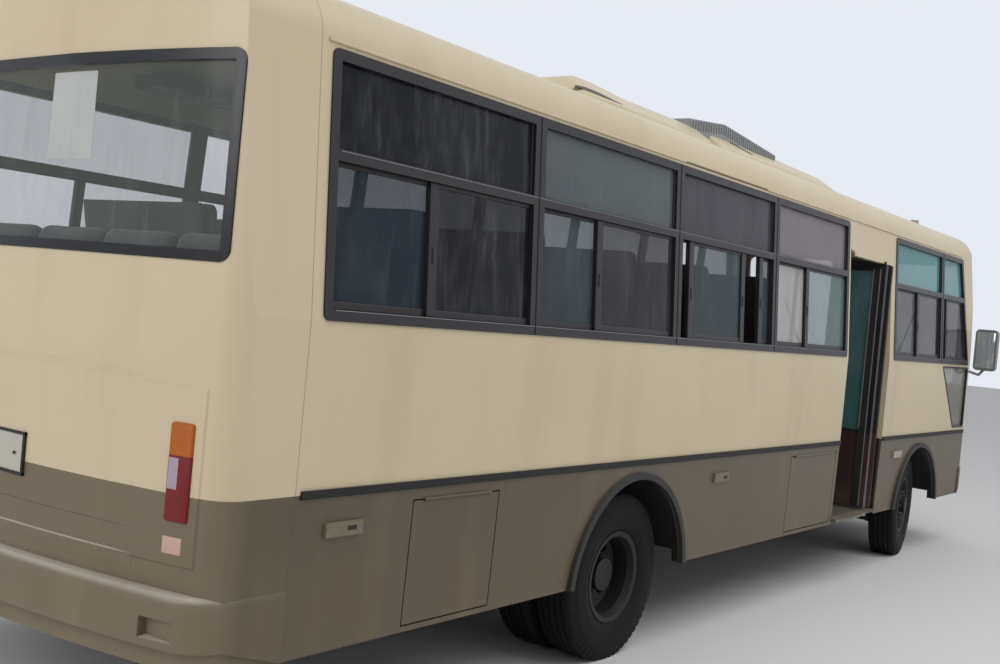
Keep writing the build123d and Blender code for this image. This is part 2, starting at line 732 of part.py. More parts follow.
DRIVER_Y = 700
WHEEL_AT = (3455, DRIVER_Y, 1690)
COLUMN_FOOT = (3690, DRIVER_Y, 1270)


def driver_seat():
    """A single seat behind the wheel on the left."""
    x, y, half = 2960, DRIVER_Y, 235
    cushion = block((x, x + 450), (y - half, y + half), (CUSHION_Z - 110, CUSHION_Z))
    back = Pos(x - 62, y, CUSHION_Z + 300) * Rot(0, -BACK_LEAN_DEG, 0) * Box(110, 2 * half, 620)
    stand = block((x + 60, x + 380), (y - 150, y + 150), (FLOOR_Z, CUSHION_Z - 110.3))
    return [cushion, back], stand


def rear_bench():
    """Five places across the back, on a boxed stand."""
    half = 1010
    cushion = block((-3880, -3440), (-half, half), (CUSHION_Z - 110, CUSHION_Z))
    back = Pos(-3915, 0, 1560) * Rot(0, -BACK_LEAN_DEG, 0) * Box(100, 2 * half, 440)
    stand = block((-3860, -3500), (-half + 20, half - 20), (FLOOR_Z, CUSHION_Z - 110.3))
    return [cushion, back], stand


def dashboard():
    """The moulded shelf under the screen, with the steering column."""
    shelf = outline([(3600, 1210), (4130, 1210), (4130, 1280), (3720, 1320), (3630, 1300)])
    dash = along_y(shelf, 1040, -1040)
    legs = block((3760, 4130), (-1040, 1040), (FLOOR_Z, 1220))
    dash = (dash + legs) & hull(WALL + 1)
    axis = (Vector(*WHEEL_AT) - Vector(*COLUMN_FOOT)).normalized()
    top = Vector(*WHEEL_AT) - axis * 14
    return dash + rod(COLUMN_FOOT, tuple(top), 26)


def steering_wheel():
    """A two-spoke rim on the column's end."""
    axis = Vector(*WHEEL_AT) - Vector(*COLUMN_FOOT)
    plane = Plane(origin=WHEEL_AT, z_dir=axis)
    rim = Torus(215, 15)
    hub = Pos(0, 0, -2) * Cylinder(46, 24)
    spokes = Box(430, 34, 12)
    return plane * (rim + hub + spokes)


def tyre(y):
    """A plain tyre with a flat tread, rounded shoulders and crowned walls."""
    half = TYRE_W / 2
    tread = half - 26
    bead = 78
    points = [(RIM_R, -bead), (RIM_R + 18, -bead), (TYRE_R - 92, -half), (TYRE_R - 22, -half + 8), (TYRE_R, -tread),
              (TYRE_R, tread), (TYRE_R - 22, half - 8), (TYRE_R - 92, half), (RIM_R + 18, bead), (RIM_R, bead)]
    profile = make_face(Polyline(*points, close=True))
    return Pos(0, y, 0) * revolve(profile, Axis.Y)


def rim(y, dish):
    """A steel disc wheel: flanged barrel and a dished disc; dish says where the disc sits."""
    barrel = [(RIM_R - 10, -82), (RIM_R + 14, -86), (RIM_R + 14, -78.3), (RIM_R - 0.3, -78), (RIM_R - 0.3, 78),
              (RIM_R + 14, 78.3), (RIM_R + 14, 86), (RIM_R - 10, 82), (RIM_R - 22, 50), (RIM_R - 22, -50)]
    ring = revolve(make_face(Polyline(*barrel, close=True)), Axis.Y)
    disc = [(0, dish), (90, dish), (RIM_R - 21, dish - 45 if dish > 0 else dish + 45),
            (RIM_R - 21, (dish - 45 if dish > 0 else dish + 45) - 14), (84, dish - 14), (0, dish - 14)]
    plate = revolve(make_face(Polyline(*disc, close=True)), Axis.Y)
    holes = None
    for n in range(8):
        hole = Rot(0, 45 * n, 0) * Pos(140, 0, 0) * Rot(90, 0, 0) * Cylinder(20, 400)
        holes = hole if holes is None else holes + hole
    return Pos(0, y, 0) * (ring + (plate - holes))


def place_wheel(shape, x, steer=0.0, y_pin=0.0):
    """Stand a wheel at its axle, turned about its kingpin."""
    placed = Pos(x, 0, AXLE_Z) * shape
    return turn(placed, (x, y_pin), steer) if steer else placed


KINGPIN_Y = 820
KINGPIN_R = 18
KNUCKLE_ARM = 170
ARM_Z = AXLE_Z - 95
STUD_R = 8
ARM_R = 16
STUD_GAP = 0.5
STUB_R = 30
REAR_STUB_R = 45
BEARING_GAP = 0.3


def flatten(shape):
    """Cut the tyre where it bears on the ground."""
    return shape - block((-BIG, BIG), (-BIG, BIG), (-100, 0))


def front_wheel(side):
    """Tyre and rim of one steered wheel."""
    sign = SIDES[side]
    y = sign * FRONT_TRACK / 2
    pin = sign * KINGPIN_Y
    rubber = flatten(place_wheel(tyre(y), FRONT_AXLE_X, STEER_REST_DEG, pin))
    steel = place_wheel(rim(y, sign * 60), FRONT_AXLE_X, STEER_REST_DEG, pin)
    hub = drum(FRONT_AXLE_X, AXLE_Z, 62, y - sign * 40, y + sign * 110)
    bore = drum(FRONT_AXLE_X, AXLE_Z, STUB_R + BEARING_GAP, y - sign * 90, y + sign * 22)
    hub, bore = (turn(s, (FRONT_AXLE_X, pin), STEER_REST_DEG) for s in (hub, bore))
    return rubber, steel + hub - bore


def knuckle(side):
    """Forked knuckle on its kingpin, with the stub axle and the arm for the track rod."""
    sign = SIDES[side]
    x, pin = FRONT_AXLE_X, sign * KINGPIN_Y
    fork = block((x - 42, x + 42), (pin - sign * 40, pin + sign * 46), (AXLE_Z - 112, AXLE_Z + 85))
    fork -= block((x - 60, x + 60), (pin - sign * 60, pin + sign * 30), (AXLE_Z - 52, AXLE_Z + 52))
    stub = drum(x, AXLE_Z, STUB_R, pin + sign * 32, sign * (FRONT_TRACK / 2 + 20))
    end = (x - KNUCKLE_ARM, pin, ARM_Z)
    arm = rod((x - 30, pin, ARM_Z), end, ARM_R) + Pos(*end) * Cylinder(26, 30)
    pin_hole = Pos(x, pin, AXLE_Z) * Cylinder(KINGPIN_R + PIN_FIT, 400)
    stud_hole = Pos(*end) * Cylinder(STUD_R + (PIN_FIT if sign < 0 else 4), 100)
    return turn(fork + stub + arm - pin_hole - stud_hole, (x, pin), STEER_REST_DEG)


def front_axle_beam():
    """A drop-forged beam with a kingpin in each end."""
    x = FRONT_AXLE_X
    beam = block((x - 38, x + 38), (-640, 640), (AXLE_Z - 110, AXLE_Z - 40))
    for sign in SIDES.values():
        rise = outline([(sign * 600, AXLE_Z - 110), (sign * 660, AXLE_Z - 110), (sign * 750, AXLE_Z - 48),
                        (sign * KINGPIN_Y, AXLE_Z - 48), (sign * KINGPIN_Y, AXLE_Z + 48),
                        (sign * 760, AXLE_Z + 48), (sign * 710, AXLE_Z + 20), (sign * 600, AXLE_Z - 40)])
        beam += along_x(rise, x - 24, x + 24)
        beam += Pos(x, sign * KINGPIN_Y, AXLE_Z) * Cylinder(24, 96)
        beam += Pos(x, sign * KINGPIN_Y, AXLE_Z) * Cylinder(KINGPIN_R, 176)
    return beam


def arm_end(sign):
    """Where a knuckle's arm ends, with the wheels steered as they stand."""
    a = radians(STEER_REST_DEG)
    return FRONT_AXLE_X - KNUCKLE_ARM * cos(a), sign * KINGPIN_Y - KNUCKLE_ARM * sin(a)


def track_rod():
    """The rod behind the axle that turns both wheels together, a stud at each end."""
    z = ARM_Z - ARM_R - STUD_GAP - 17
    ends = [arm_end(sign) for sign in SIDES.values()]
    bar = rod((*ends[0], z), (*ends[1], z), 15)
    for x, y in ends:
        bar += Pos(x, y, z) * Cylinder(24, 34)
        bar += Pos(x, y, z + 27) * Cylinder(STUD_R, 50)
    return bar


def leaf_springs():
    """Stacked leaves on all four corners, with their shackles on the rails."""
    pieces = []
    for x_axle, y, seat_z in ((FRONT_AXLE_X, RAIL_Y, AXLE_Z - 40), (REAR_AXLE_X, RAIL_Y, AXLE_Z + 62)):
        for side in SIDES.values():
            stack = None
            for n, half in enumerate((640, 520, 390, 260)):
                layer = block((x_axle - half, x_axle + half), (side * y - 32, side * y + 32),
                              (seat_z + 44 - 11 * n - 11, seat_z + 44 - 11 * n))
                stack = layer if stack is None else stack + layer
            for end in (-1, 1):
                eye = x_axle + end * 625
                stack += block((eye - 14, eye + 14), (side * y - 26, side * y + 26),
                               (seat_z + 40, max(RAIL_Z[0], seat_z + 60)))
            pieces.append(stack)
    return pieces


def rear_axle():
    """A banjo housing with the hub drums at its ends."""
    x = REAR_AXLE_X
    tube = drum(x, AXLE_Z, 62, -690, 690) + drum(x, AXLE_Z, REAR_STUB_R, -REAR_OUTER_Y, REAR_OUTER_Y)
    bowl = Pos(x, 0, AXLE_Z) * Sphere(165)
    nose = rod((x, 0, AXLE_Z), shaft_point(230), 60)
    return tube + bowl + nose


SHAFT_START = (ENGINE_X[0] - 600, 0, 520)


def shaft_point(distance):
    """A point on the propeller shaft's line, measured from the rear axle's centre."""
    centre = Vector(REAR_AXLE_X, 0, AXLE_Z)
    return tuple(centre + (Vector(*SHAFT_START) - centre).normalized() * distance)


def rear_wheels(side):
    """Twin wheels on one hub, dished towards each other."""
    sign = SIDES[side]
    outer_y = sign * REAR_OUTER_Y
    inner_y = sign * (REAR_OUTER_Y - DUAL_SPACING)
    tyres = [flatten(place_wheel(tyre(y), REAR_AXLE_X)) for y in (outer_y, inner_y)]
    outer_rim = rim(outer_y, -sign * 85)
    inner_rim = rim(inner_y, sign * 90)
    rims = [place_wheel(r, REAR_AXLE_X) for r in (outer_rim, inner_rim)]
    hub = drum(REAR_AXLE_X, AXLE_Z, 78, sign * (REAR_OUTER_Y - DUAL_SPACING + 20), sign * (REAR_OUTER_Y + 30))
    bore = drum(REAR_AXLE_X, AXLE_Z, REAR_STUB_R + BEARING_GAP, sign * 600, sign * (REAR_OUTER_Y + 2))
    steel = rims[0] + rims[1] + hub - bore
    return tyres, steel


def build():
    """Make every node and write it."""
    rear_cap, front_cap, roof, sides = body_panels()
    upper_right, upper_left, header = upper_sides(sides)
    skirt_right, skirt_left = skirts(sides)
    skirt_right, lockers = locker_doors(sides, skirt_right)
    rear_cap, front_cap, rear_window, windscreen = glazing_and_caps(rear_cap, front_cap)
    lamps_rear, lamps_front = tail_lamps(), head_lamps()
    for lamp in lamps_rear:
        rear_cap -= lamp
    for lamp in lamps_front:
        front_cap -= lamp
    save("roof_panel", roof)
    save("rear_cap", rear_cap)
    save("front_cap", front_cap)
    save("side_upper_right", upper_right)
    save("side_upper_left", upper_left)
    save("door_header", header)
    save("skirt_right", skirt_right)
    save("skirt_left", skirt_left)
    kerb_frames, kerb_panes = kerb_windows()
    frames, panes = [], []
    for side, run in BANDS:
        frame, pane = frame_and_glass(side, run)
        frames.append(frame)
        panes.append(pane)
    save("window_frames_right", *[frames[0], frames[1], kerb_frames[0]])
    save("window_frames_left", frames[2], kerb_frames[1])
    save("side_glass", *panes, *kerb_panes)
    save("window_seals", rear_window[0], windscreen[0])
    save("end_windows", rear_window[1], windscreen[1])
    save("rub_rails", *rub_rails())
    save("arch_trims", *arch_trims())
    save("arch_liners", *arch_liners())
    rear_bumper, front_bumper = bumpers()
    save("rear_bumper", rear_bumper)
    save("front_bumper", front_bumper)
    save("tail_lamps", *lamps_rear)
    save("head_lamps", *lamps_front)
    save("marker_lamps", *marker_lamps())
    for name, points in PODS.items():
        save(name, roof_pod(points))
    save("mirrors", *mirrors())
    (leaf_a, glass_a), (leaf_b, glass_b) = door_leaves()
    save("door_leaf_front", leaf_a)
    save("door_leaf_rear", leaf_b)
    save("door_glass_front", glass_a)
    save("door_glass_rear", glass_b)
    for name, door in lockers.items():
        save(name, door)
    save("chassis_frame", chassis_frame())
    save("tow_eyes", *tow_eyes())
    save("floor_bearers", *floor_bearers())
    save("floor_deck", floor_deck())
    save("entry_steps", entry_steps())
    pads, stands = seats()
    driver_pads, driver_stand = driver_seat()
    bench_pads, bench_stand = rear_bench()
    save("seat_pads", *pads, *driver_pads)
    save("rear_bench", *bench_pads)
    save("seat_frames", *stands, driver_stand, bench_stand)
    save("dashboard", dashboard())
    save("steering_wheel", steering_wheel())
    save("engine_block", block(ENGINE_X, (-ENGINE_Y, ENGINE_Y), (RAIL_Z[0] + 60, HUMP_Z - 60)))
    gearbox = rod((ENGINE_X[0], 0, 590), (SHAFT_START[0], 0, 590), 108)
    save("driveline", gearbox + rod(SHAFT_START, shaft_point(230), 45))
    save("fuel_tank", block((-250, 560), (480, 980), (RAIL_Z[1] - 250, RAIL_Z[1])))
    save("leaf_springs", *leaf_springs())
    save("front_axle_beam", front_axle_beam())
    for side in SIDES:
        save(f"knuckle_{side}", knuckle(side))
        rubber, steel = front_wheel(side)
        save(f"front_tyre_{side}", rubber)
        save(f"front_rim_{side}", steel)
        tyres, steel = rear_wheels(side)
        save(f"rear_tyres_{side}", *tyres)
        save(f"rear_rims_{side}", steel)
    save("track_rod", track_rod())
    save("rear_axle", rear_axle())


build()
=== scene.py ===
# %% [markdown]
# # A midibus, dressed in Blender
#
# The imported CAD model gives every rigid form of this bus: shell, windows, wheels, door and chassis.
# This script loads it as a fixed frame, gives each surface a finish of its own, and adds what CAD leaves
# out: tyre tread, seat cushions, sliding sashes, rounded bumpers and cowls, nuts and trim.
#
# Metres are used throughout. X points to the front of the bus, Y to its left and Z up.

# %% Load the frame
import math

import bmesh
import bpy
import mathutils
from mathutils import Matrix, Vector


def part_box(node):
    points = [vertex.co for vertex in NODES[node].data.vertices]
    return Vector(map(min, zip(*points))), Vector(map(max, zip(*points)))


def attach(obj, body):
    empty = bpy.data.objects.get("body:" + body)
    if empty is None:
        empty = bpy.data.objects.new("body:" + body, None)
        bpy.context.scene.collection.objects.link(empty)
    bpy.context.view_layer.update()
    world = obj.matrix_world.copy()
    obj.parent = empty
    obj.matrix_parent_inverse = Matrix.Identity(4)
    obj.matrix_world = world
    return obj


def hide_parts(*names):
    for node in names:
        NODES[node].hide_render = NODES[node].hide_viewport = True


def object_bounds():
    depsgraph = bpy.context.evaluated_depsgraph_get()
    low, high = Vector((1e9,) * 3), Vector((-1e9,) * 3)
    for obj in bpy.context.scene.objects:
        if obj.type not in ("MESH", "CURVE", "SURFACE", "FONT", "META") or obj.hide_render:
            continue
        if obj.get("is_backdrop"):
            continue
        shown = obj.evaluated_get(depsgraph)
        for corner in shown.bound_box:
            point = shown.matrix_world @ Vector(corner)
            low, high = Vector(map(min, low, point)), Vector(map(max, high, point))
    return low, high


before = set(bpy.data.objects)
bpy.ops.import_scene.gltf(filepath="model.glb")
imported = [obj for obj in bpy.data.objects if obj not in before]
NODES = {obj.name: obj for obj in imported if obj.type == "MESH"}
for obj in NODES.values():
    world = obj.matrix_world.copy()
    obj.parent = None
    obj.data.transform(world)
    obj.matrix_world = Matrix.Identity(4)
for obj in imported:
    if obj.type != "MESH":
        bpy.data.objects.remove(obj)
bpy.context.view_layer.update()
MOVE = mathutils.Matrix.Translation
V = mathutils.Vector


def link(thing):
    """Put an object in the scene and hand it back."""
    bpy.context.scene.collection.objects.link(thing)
    return thing


def applied(holder):
    """The mesh an object has once its modifiers have run."""
    graph = bpy.context.evaluated_depsgraph_get()
    return bpy.data.meshes.new_from_object(holder.evaluated_get(graph))


# %% [markdown]
# ## The camera
#
# The bus is seen from behind its right rear corner, at chest height, with the camera tipped a little to
# one side. The place and the three angles come from a camera fitted to the edges of windows, skirt and
# roof; the lens follows from the same fit.

# %% Place the camera
CAMERA_PLACE = (-6.403, -3.787, 1.591)
CAMERA_YAW = 36.30
CAMERA_PITCH = -0.97
CAMERA_ROLL = 5.37
CAMERA_LENS = 41.93


def make_camera():
    """The photographer's view."""
    data = bpy.data.cameras.new("camera")
    data.lens = CAMERA_LENS
    data.sensor_width = 36.0
    camera = link(bpy.data.objects.new("camera", data))
    turn = (mathutils.Matrix.Rotation(math.radians(CAMERA_YAW - 90.0), 4, "Z")
            @ mathutils.Matrix.Rotation(math.radians(90.0 + CAMERA_PITCH), 4, "X")
            @ mathutils.Matrix.Rotation(math.radians(CAMERA_ROLL), 4, "Z"))
    camera.matrix_world = MOVE(CAMERA_PLACE) @ turn
    bpy.context.scene.camera = camera


make_camera()
bpy.context.scene.view_settings.view_transform = "Standard"

# %% [markdown]
# ## Studio
#
# A pale floor catches the shadow. The world is a soft even grey to light with, but shows a pale sky to
# the camera, in gloss and through glass. Two broad lamps stand in for the open sky: one above and to the
# door side, and one behind the bus, because its rear wall is the brightest in daylight.

# %% Light the studio
FLOOR_HALF = 60.0
WORLD_LIGHT = 0.50
SKY_LAMP_POWER = 500.0
REAR_LAMP_POWER = 270.0


def make_floor():
    """One big pale square on the ground."""
    mesh = bpy.data.meshes.new("studio_floor")
    corners = [(FLOOR_HALF * a, FLOOR_HALF * b, 0) for a, b in ((-1, -1), (1, -1), (1, 1), (-1, 1))]
    mesh.from_pydata(corners, [], [(0, 1, 2, 3)])
    floor = link(bpy.data.objects.new("studio_floor", mesh))
    floor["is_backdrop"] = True


def make_lamp(name, place, target, size, power):
    """A square area lamp aimed at a point."""
    data = bpy.data.lights.new(name, "AREA")
    data.size = size
    data.energy = power
    lamp = link(bpy.data.objects.new(name, data))
    turn = (V(target) - V(place)).to_track_quat("-Z", "Y").to_matrix().to_4x4()
    lamp.matrix_world = MOVE(place) @ turn


make_floor()
make_lamp("sky_lamp", (0.0, -6.5, 10.5), (0.0, 0.0, 1.0), 9.0, SKY_LAMP_POWER)
make_lamp("rear_lamp", (-12.0, 1.5, 5.0), (-4.0, 0.0, 1.5), 5.0, REAR_LAMP_POWER)


def make_world():
    """Pale to the camera, to gloss and through glass, a softer grey as light."""
    world = bpy.data.worlds.new("studio")
    bpy.context.scene.world = world
    world.use_nodes = True
    tree = world.node_tree
    tree.nodes.clear()
    path = tree.nodes.new("ShaderNodeLightPath")
    shown = path.outputs["Is Camera Ray"]
    for ray in ("Is Transmission Ray", "Is Glossy Ray"):
        either = tree.nodes.new("ShaderNodeMath")
        either.operation = "MAXIMUM"
        tree.links.new(shown, either.inputs[0])
        tree.links.new(path.outputs[ray], either.inputs[1])
        shown = either.outputs[0]
    pale = tree.nodes.new("ShaderNodeBackground")
    pale.inputs["Color"].default_value = (0.80, 0.83, 0.90, 1.0)
    soft = tree.nodes.new("ShaderNodeBackground")
    soft.inputs["Color"].default_value = (0.97, 0.98, 1.0, 1.0)
    soft.inputs["Strength"].default_value = WORLD_LIGHT
    choose = tree.nodes.new("ShaderNodeMixShader")
    out = tree.nodes.new("ShaderNodeOutputWorld")
    tree.links.new(shown, choose.inputs[0])
    tree.links.new(soft.outputs[0], choose.inputs[1])
    tree.links.new(pale.outputs[0], choose.inputs[2])
    tree.links.new(choose.outputs[0], out.inputs["Surface"])


make_world()

# %% [markdown]
# ## Shader sums written as Python
#
# A finish is easier to read as arithmetic than as a web of nodes. `Wire` wraps one output socket, and its
# operators add Math nodes, so `1 - mask` or `noise * 0.1 + 0.3` are whole node chains. `Finish` holds one
# material: its `node` method makes any other node from a type, its settings and the values or wires of
# its sockets. Colours always go through Mix nodes, because a Math node would turn them grey.

# %% A small shader language
def srgb(red, green, blue):
    """A colour read from 0 to 255 on a screen, as the linear colour a shader wants."""
    return tuple((c / 255 / 12.92 if c <= 10 else ((c / 255 + 0.055) / 1.055) ** 2.4)
                 for c in (red, green, blue)) + (1.0,)


class Wire:
    """One output socket, usable in sums."""

    def __init__(self, finish, socket):
        self.finish = finish
        self.socket = socket

    def math(self, operation, left, right=0.0, clamp=False):
        return self.finish.node("ShaderNodeMath", {"operation": operation, "use_clamp": clamp},
                                {0: left, 1: right})

    def __add__(self, other):
        return self.math("ADD", self, other)

    __radd__ = __add__

    def __sub__(self, other):
        return self.math("SUBTRACT", self, other)

    def __rsub__(self, other):
        return self.math("SUBTRACT", other, self)

    def __mul__(self, other):
        return self.math("MULTIPLY", self, other)

    __rmul__ = __mul__

    def __abs__(self):
        return self.math("ABSOLUTE", self)

    def above(self, edge, width=0.001):
        """0 below an edge and 1 above it, with a soft step of that width."""
        return self.math("ADD", (self - edge) * (1 / width), 0.5, clamp=True)

    def between(self, low, high, width=0.001):
        """1 between two edges and 0 outside them."""
        return self.above(low, width) * (1 - self.above(high, width))


class Finish:
    """A material in the making: one Principled shader and the nodes that feed it."""

    def __init__(self, name):
        self.material = bpy.data.materials.new(name)
        self.material.use_nodes = True
        self.tree = self.material.node_tree
        self.shader = self.tree.nodes["Principled BSDF"]
        self.spot = self.node("ShaderNodeTexCoord", output="Object")

    def node(self, kind, settings=None, inputs=None, output=0):
        """Any node, with its settings and inputs, as the wire of one output."""
        made = self.tree.nodes.new(kind)
        for key, value in (settings or {}).items():
            if key == "stops":
                self.set_stops(made.color_ramp, value)
            else:
                setattr(made, key, value)
        for key, value in (inputs or {}).items():
            self.feed(made.inputs[key], value)
        return Wire(self, made.outputs[output])

    def set_stops(self, ramp, stops):
        while len(ramp.elements) < len(stops):
            ramp.elements.new(1.0)
        for element, (place, colour) in zip(ramp.elements, stops):
            element.position = place
            element.color = colour

    def feed(self, socket, value):
        """Link a wire to a socket, or set the socket to a value."""
        if isinstance(value, Wire):
            self.tree.links.new(value.socket, socket)
        else:
            socket.default_value = value

    def axes(self):
        """X, Y and Z of the surface point, in metres."""
        split = self.node("ShaderNodeSeparateXYZ", inputs={0: self.spot}).socket.node
        return [Wire(self, split.outputs[n]) for n in range(3)]

    def noise(self, scale, detail=3.0, stretch=(1.0, 1.0, 1.0), roughness=0.55):
        """Smooth noise from 0 to 1, its grain stretched along an axis."""
        place = self.node("ShaderNodeMapping", inputs={"Vector": self.spot, "Scale": stretch})
        return self.node("ShaderNodeTexNoise", inputs={"Vector": place, "Scale": scale, "Detail": detail,
                                                       "Roughness": roughness})

    def mix(self, factor, first, second):
        """Blend two colours."""
        return self.node("ShaderNodeMix", {"data_type": "RGBA"}, {0: factor, 6: first, 7: second}, output=2)

    def bump(self, height, strength, distance=0.002):
        """A height turned into a bent normal."""
        return self.node("ShaderNodeBump",
                         inputs={"Strength": strength, "Distance": distance, "Height": height})

    def upward(self):
        """How much the surface faces up, from -1 to 1."""
        normal = self.node("ShaderNodeNewGeometry", output="Normal")
        return self.node("ShaderNodeSeparateXYZ", inputs={0: normal}, output=2)

    def at_least(self, value, least):
        """A value, but never less than another."""
        return self.node("ShaderNodeMath", {"operation": "MAXIMUM"}, {0: value, 1: least})

    def ribs(self, direction, scale):
        """The fine parallel prisms of a lens."""
        return self.node("ShaderNodeTexWave", {"wave_type": "BANDS", "bands_direction": direction},
                         {"Vector": self.spot, "Scale": scale, "Distortion": 0.0})

    def done(self, **sockets):
        """Set the shader's sockets by name, with words joined by underscores."""
        for key, value in sockets.items():
            self.feed(self.shader.inputs[key.replace("_", " ")], value)
        return self.material


def dress(material, *names):
    """Give CAD nodes a material."""
    for name in names:
        slots = NODES[name].data.materials
        slots.clear()
        slots.append(material)


# %% [markdown]
# ## Paint
#
# The bus is painted in two tones that meet at the belt, 950 mm above the ground: a warm cream above and a
# grey-brown below. The two caps carry both, so their split is read from the height of the surface point.
# Old sprayed paint is not even: it wanders a little in tone, dulls where dust settles, and the sheet
# below it waves slightly, which only shows in the gloss. The lower rear end is turned lighter, partly for
# road dust and partly as painted light; the bumper shelves carry a painted highlight, and the faces behind
# the side skin a painted shade.

# %% Cream and taupe
BELT_Z = 0.950
CREAM = srgb(212, 197, 166)
CREAM_WORN = srgb(202, 184, 150)
TAUPE = srgb(88, 77, 60)
TAUPE_DUSTY = srgb(101, 91, 72)
DUST = srgb(130, 118, 96)
SEAM_DARK = srgb(72, 64, 50)
SHELF_HIGHLIGHT = srgb(196, 188, 176)
CAP_SEAM_X = -3.793


def body_paint(name, split_z, seams=()):
    """Two-tone paint: taupe below split_z and cream above, with thin dark panel joints across X, a painted
    highlight on the bumper shelves and painted shade behind the side skin.
    """
    f = Finish(name)
    x, y, z = f.axes()
    cloud = f.noise(0.9, 4.0)
    rain = f.noise(5.0, 3.0, (1.0, 1.0, 0.12))
    speck = f.noise(60.0, 2.0)
    patch = f.noise(2.6, 5.0, roughness=0.65)
    cream = f.mix((cloud - 0.35) * 1.6, CREAM, CREAM_WORN)
    taupe = f.mix((cloud - 0.30) * 1.8, TAUPE, TAUPE_DUSTY)
    low_dust = (1 - z.above(0.62, 0.40)) * rain
    # The lower rear end is turned lighter, partly for road dust and partly as painted light on the rear face.
    rear_dust_and_light = (1 - x.above(-4.02, 0.08)) * 0.55
    taupe = f.mix(low_dust * 0.35 + rear_dust_and_light, taupe, DUST)
    # Painted highlight: the upward faces at both ends, the bumper shelves, are turned pale as if lit.
    ends = abs(x).above(4.080, 0.080)
    shelf = f.at_least(f.upward(), 0.0).above(0.60, 0.5)
    taupe = f.mix(shelf * ends * 0.85, taupe, SHELF_HIGHLIGHT)
    taupe = f.mix(patch.above(0.56, 0.22) * 0.22, taupe, srgb(104, 84, 62))
    colour = f.mix(z.above(split_z, 0.002), taupe, cream)
    streak = rain.above(0.62, 0.18) * 0.10
    colour = f.mix(streak, colour, srgb(150, 132, 104))
    for place, width in seams:
        line = x.between(place - width / 2, place + width / 2, 0.0008) * 0.45
        colour = f.mix(line, colour, SEAM_DARK)
    # Painted shade: faces behind the side skin below the split, in the wheel arches and inside the skirts,
    # are near-black.
    shade_behind_skin = (1 - abs(y).above(1.112, 0.004)) * x.between(-3.6, 3.9) * (1 - z.above(split_z))
    colour = f.mix(shade_behind_skin, colour, srgb(26, 24, 23))
    gloss = 0.30 + cloud * 0.12 + low_dust * 0.30 + speck * 0.04 + patch * 0.06
    wave = f.noise(2.2, 1.0)
    return f.done(Base_Color=colour, Roughness=gloss, Coat_Weight=0.12, Coat_Roughness=0.12,
                  Specular_IOR_Level=0.4, Normal=f.bump(wave + speck * 0.004, 0.35, 0.006))


two_tone = body_paint("two_tone_paint", BELT_Z, [(CAP_SEAM_X, 0.004)])
cream_paint = body_paint("cream_paint", -1.0)
taupe_paint = body_paint("taupe_paint", 9.0)
dress(two_tone, "rear_cap", "front_cap")
dress(cream_paint, "side_upper_right", "side_upper_left", "roof_panel", "roof_pod_rear")
dress(taupe_paint, "skirt_right", "skirt_left", "rear_bumper", "front_bumper", "locker_door_rear",
      "locker_door_mid")


def rusty_header():
    """The cream panel over the door, its lower rear corner broken down to rust."""
    f = Finish("header_paint")
    x, y, z = f.axes()
    patch = f.noise(34.0, 4.0)
    reach = (1 - x.above(1.17, 0.22)) * (1 - z.above(2.225, 0.07))
    rust = (reach + patch * 0.7).above(0.95, 0.10)
    hole = (reach + patch * 0.5).above(1.08, 0.04)
    cream = f.mix(f.noise(1.2), CREAM, CREAM_WORN)
    browns = f.mix(f.noise(120.0), srgb(96, 62, 40), srgb(140, 96, 62))
    colour = f.mix(hole, f.mix(rust, cream, browns), srgb(34, 28, 24))
    return f.done(Base_Color=colour, Roughness=0.36 + rust * 0.5, Normal=f.bump(rust * -1.0, 0.6, 0.003))


dress(rusty_header(), "door_header")
print("paint: two-tone caps, cream sides and roof, taupe skirts")

# %% [markdown]
# ## Window frames and rubber
#
# The window units are black anodised aluminium with a faint violet cast. Belt rubber is blacker and dull,
# and the seals of the end windows are smooth. All carry a trace of dust, which here is noise in the
# roughness and a slight lift of the colour on what faces upwards. On the arch trims that lift is stronger,
# and there it is a painted highlight as well as dust.

# %% Frames, rubber and trims
def black_with_dust_and_highlight(name, colour, dust_colour, roughness, metallic, amount):
    """A dark surface with dust that lies more on upward faces; on the arch trims the same lift is also a
    painted highlight.
    """
    f = Finish(name)
    grain = f.noise(90.0, 3.0)
    cloud = f.noise(3.0, 3.0)
    dust = f.at_least(f.upward(), 0.0) * 0.7 + cloud * 0.35
    return f.done(Base_Color=f.mix(dust * amount, colour, dust_colour), Metallic=metallic,
                  Roughness=roughness + grain * 0.10 + dust * 0.15, Specular_IOR_Level=0.35,
                  Normal=f.bump(grain, 0.15, 0.0006))


window_black = black_with_dust_and_highlight("window_frame_black", srgb(38, 36, 40), srgb(108, 102, 96), 0.30, 0.10, 0.28)
rubber = black_with_dust_and_highlight("black_rubber", srgb(24, 22, 22), srgb(92, 84, 74), 0.52, 0.0, 0.28)
# Painted highlight: the stronger, paler lift on upward faces of the arch trims and door rubber stands for
# light on them, as well as dust.
arch_rubber = black_with_dust_and_highlight("arch_rubber", srgb(36, 35, 37), srgb(112, 104, 94), 0.46, 0.0, 0.45)
seal_rubber = black_with_dust_and_highlight("seal_rubber", srgb(22, 22, 26), srgb(70, 70, 74), 0.16, 0.0, 0.18)
dress(window_black, "window_frames_right", "window_frames_left")
dress(rubber, "rub_rails")
dress(seal_rubber, "window_seals")
dress(arch_rubber, "arch_trims")

# %% [markdown]
# ## Glass
#
# Side glass on this bus is grey-green and never clean. Real glass bends light, but a thin flat pane bends
# it so little that a see-through surface with a clear gloss looks the same, and it lets the lamps light
# the cabin. Each pane's colour is a painted reflection and shade, and how solid it looks is read from its
# place along the body: the rearmost pair is the darkest, the upper panes by the door are teal, and the
# low kerb pane is painted pale. Dried rain adds pale upright streaks.

# %% Panes
GLASS_SPAN = (-3.8, 4.0)
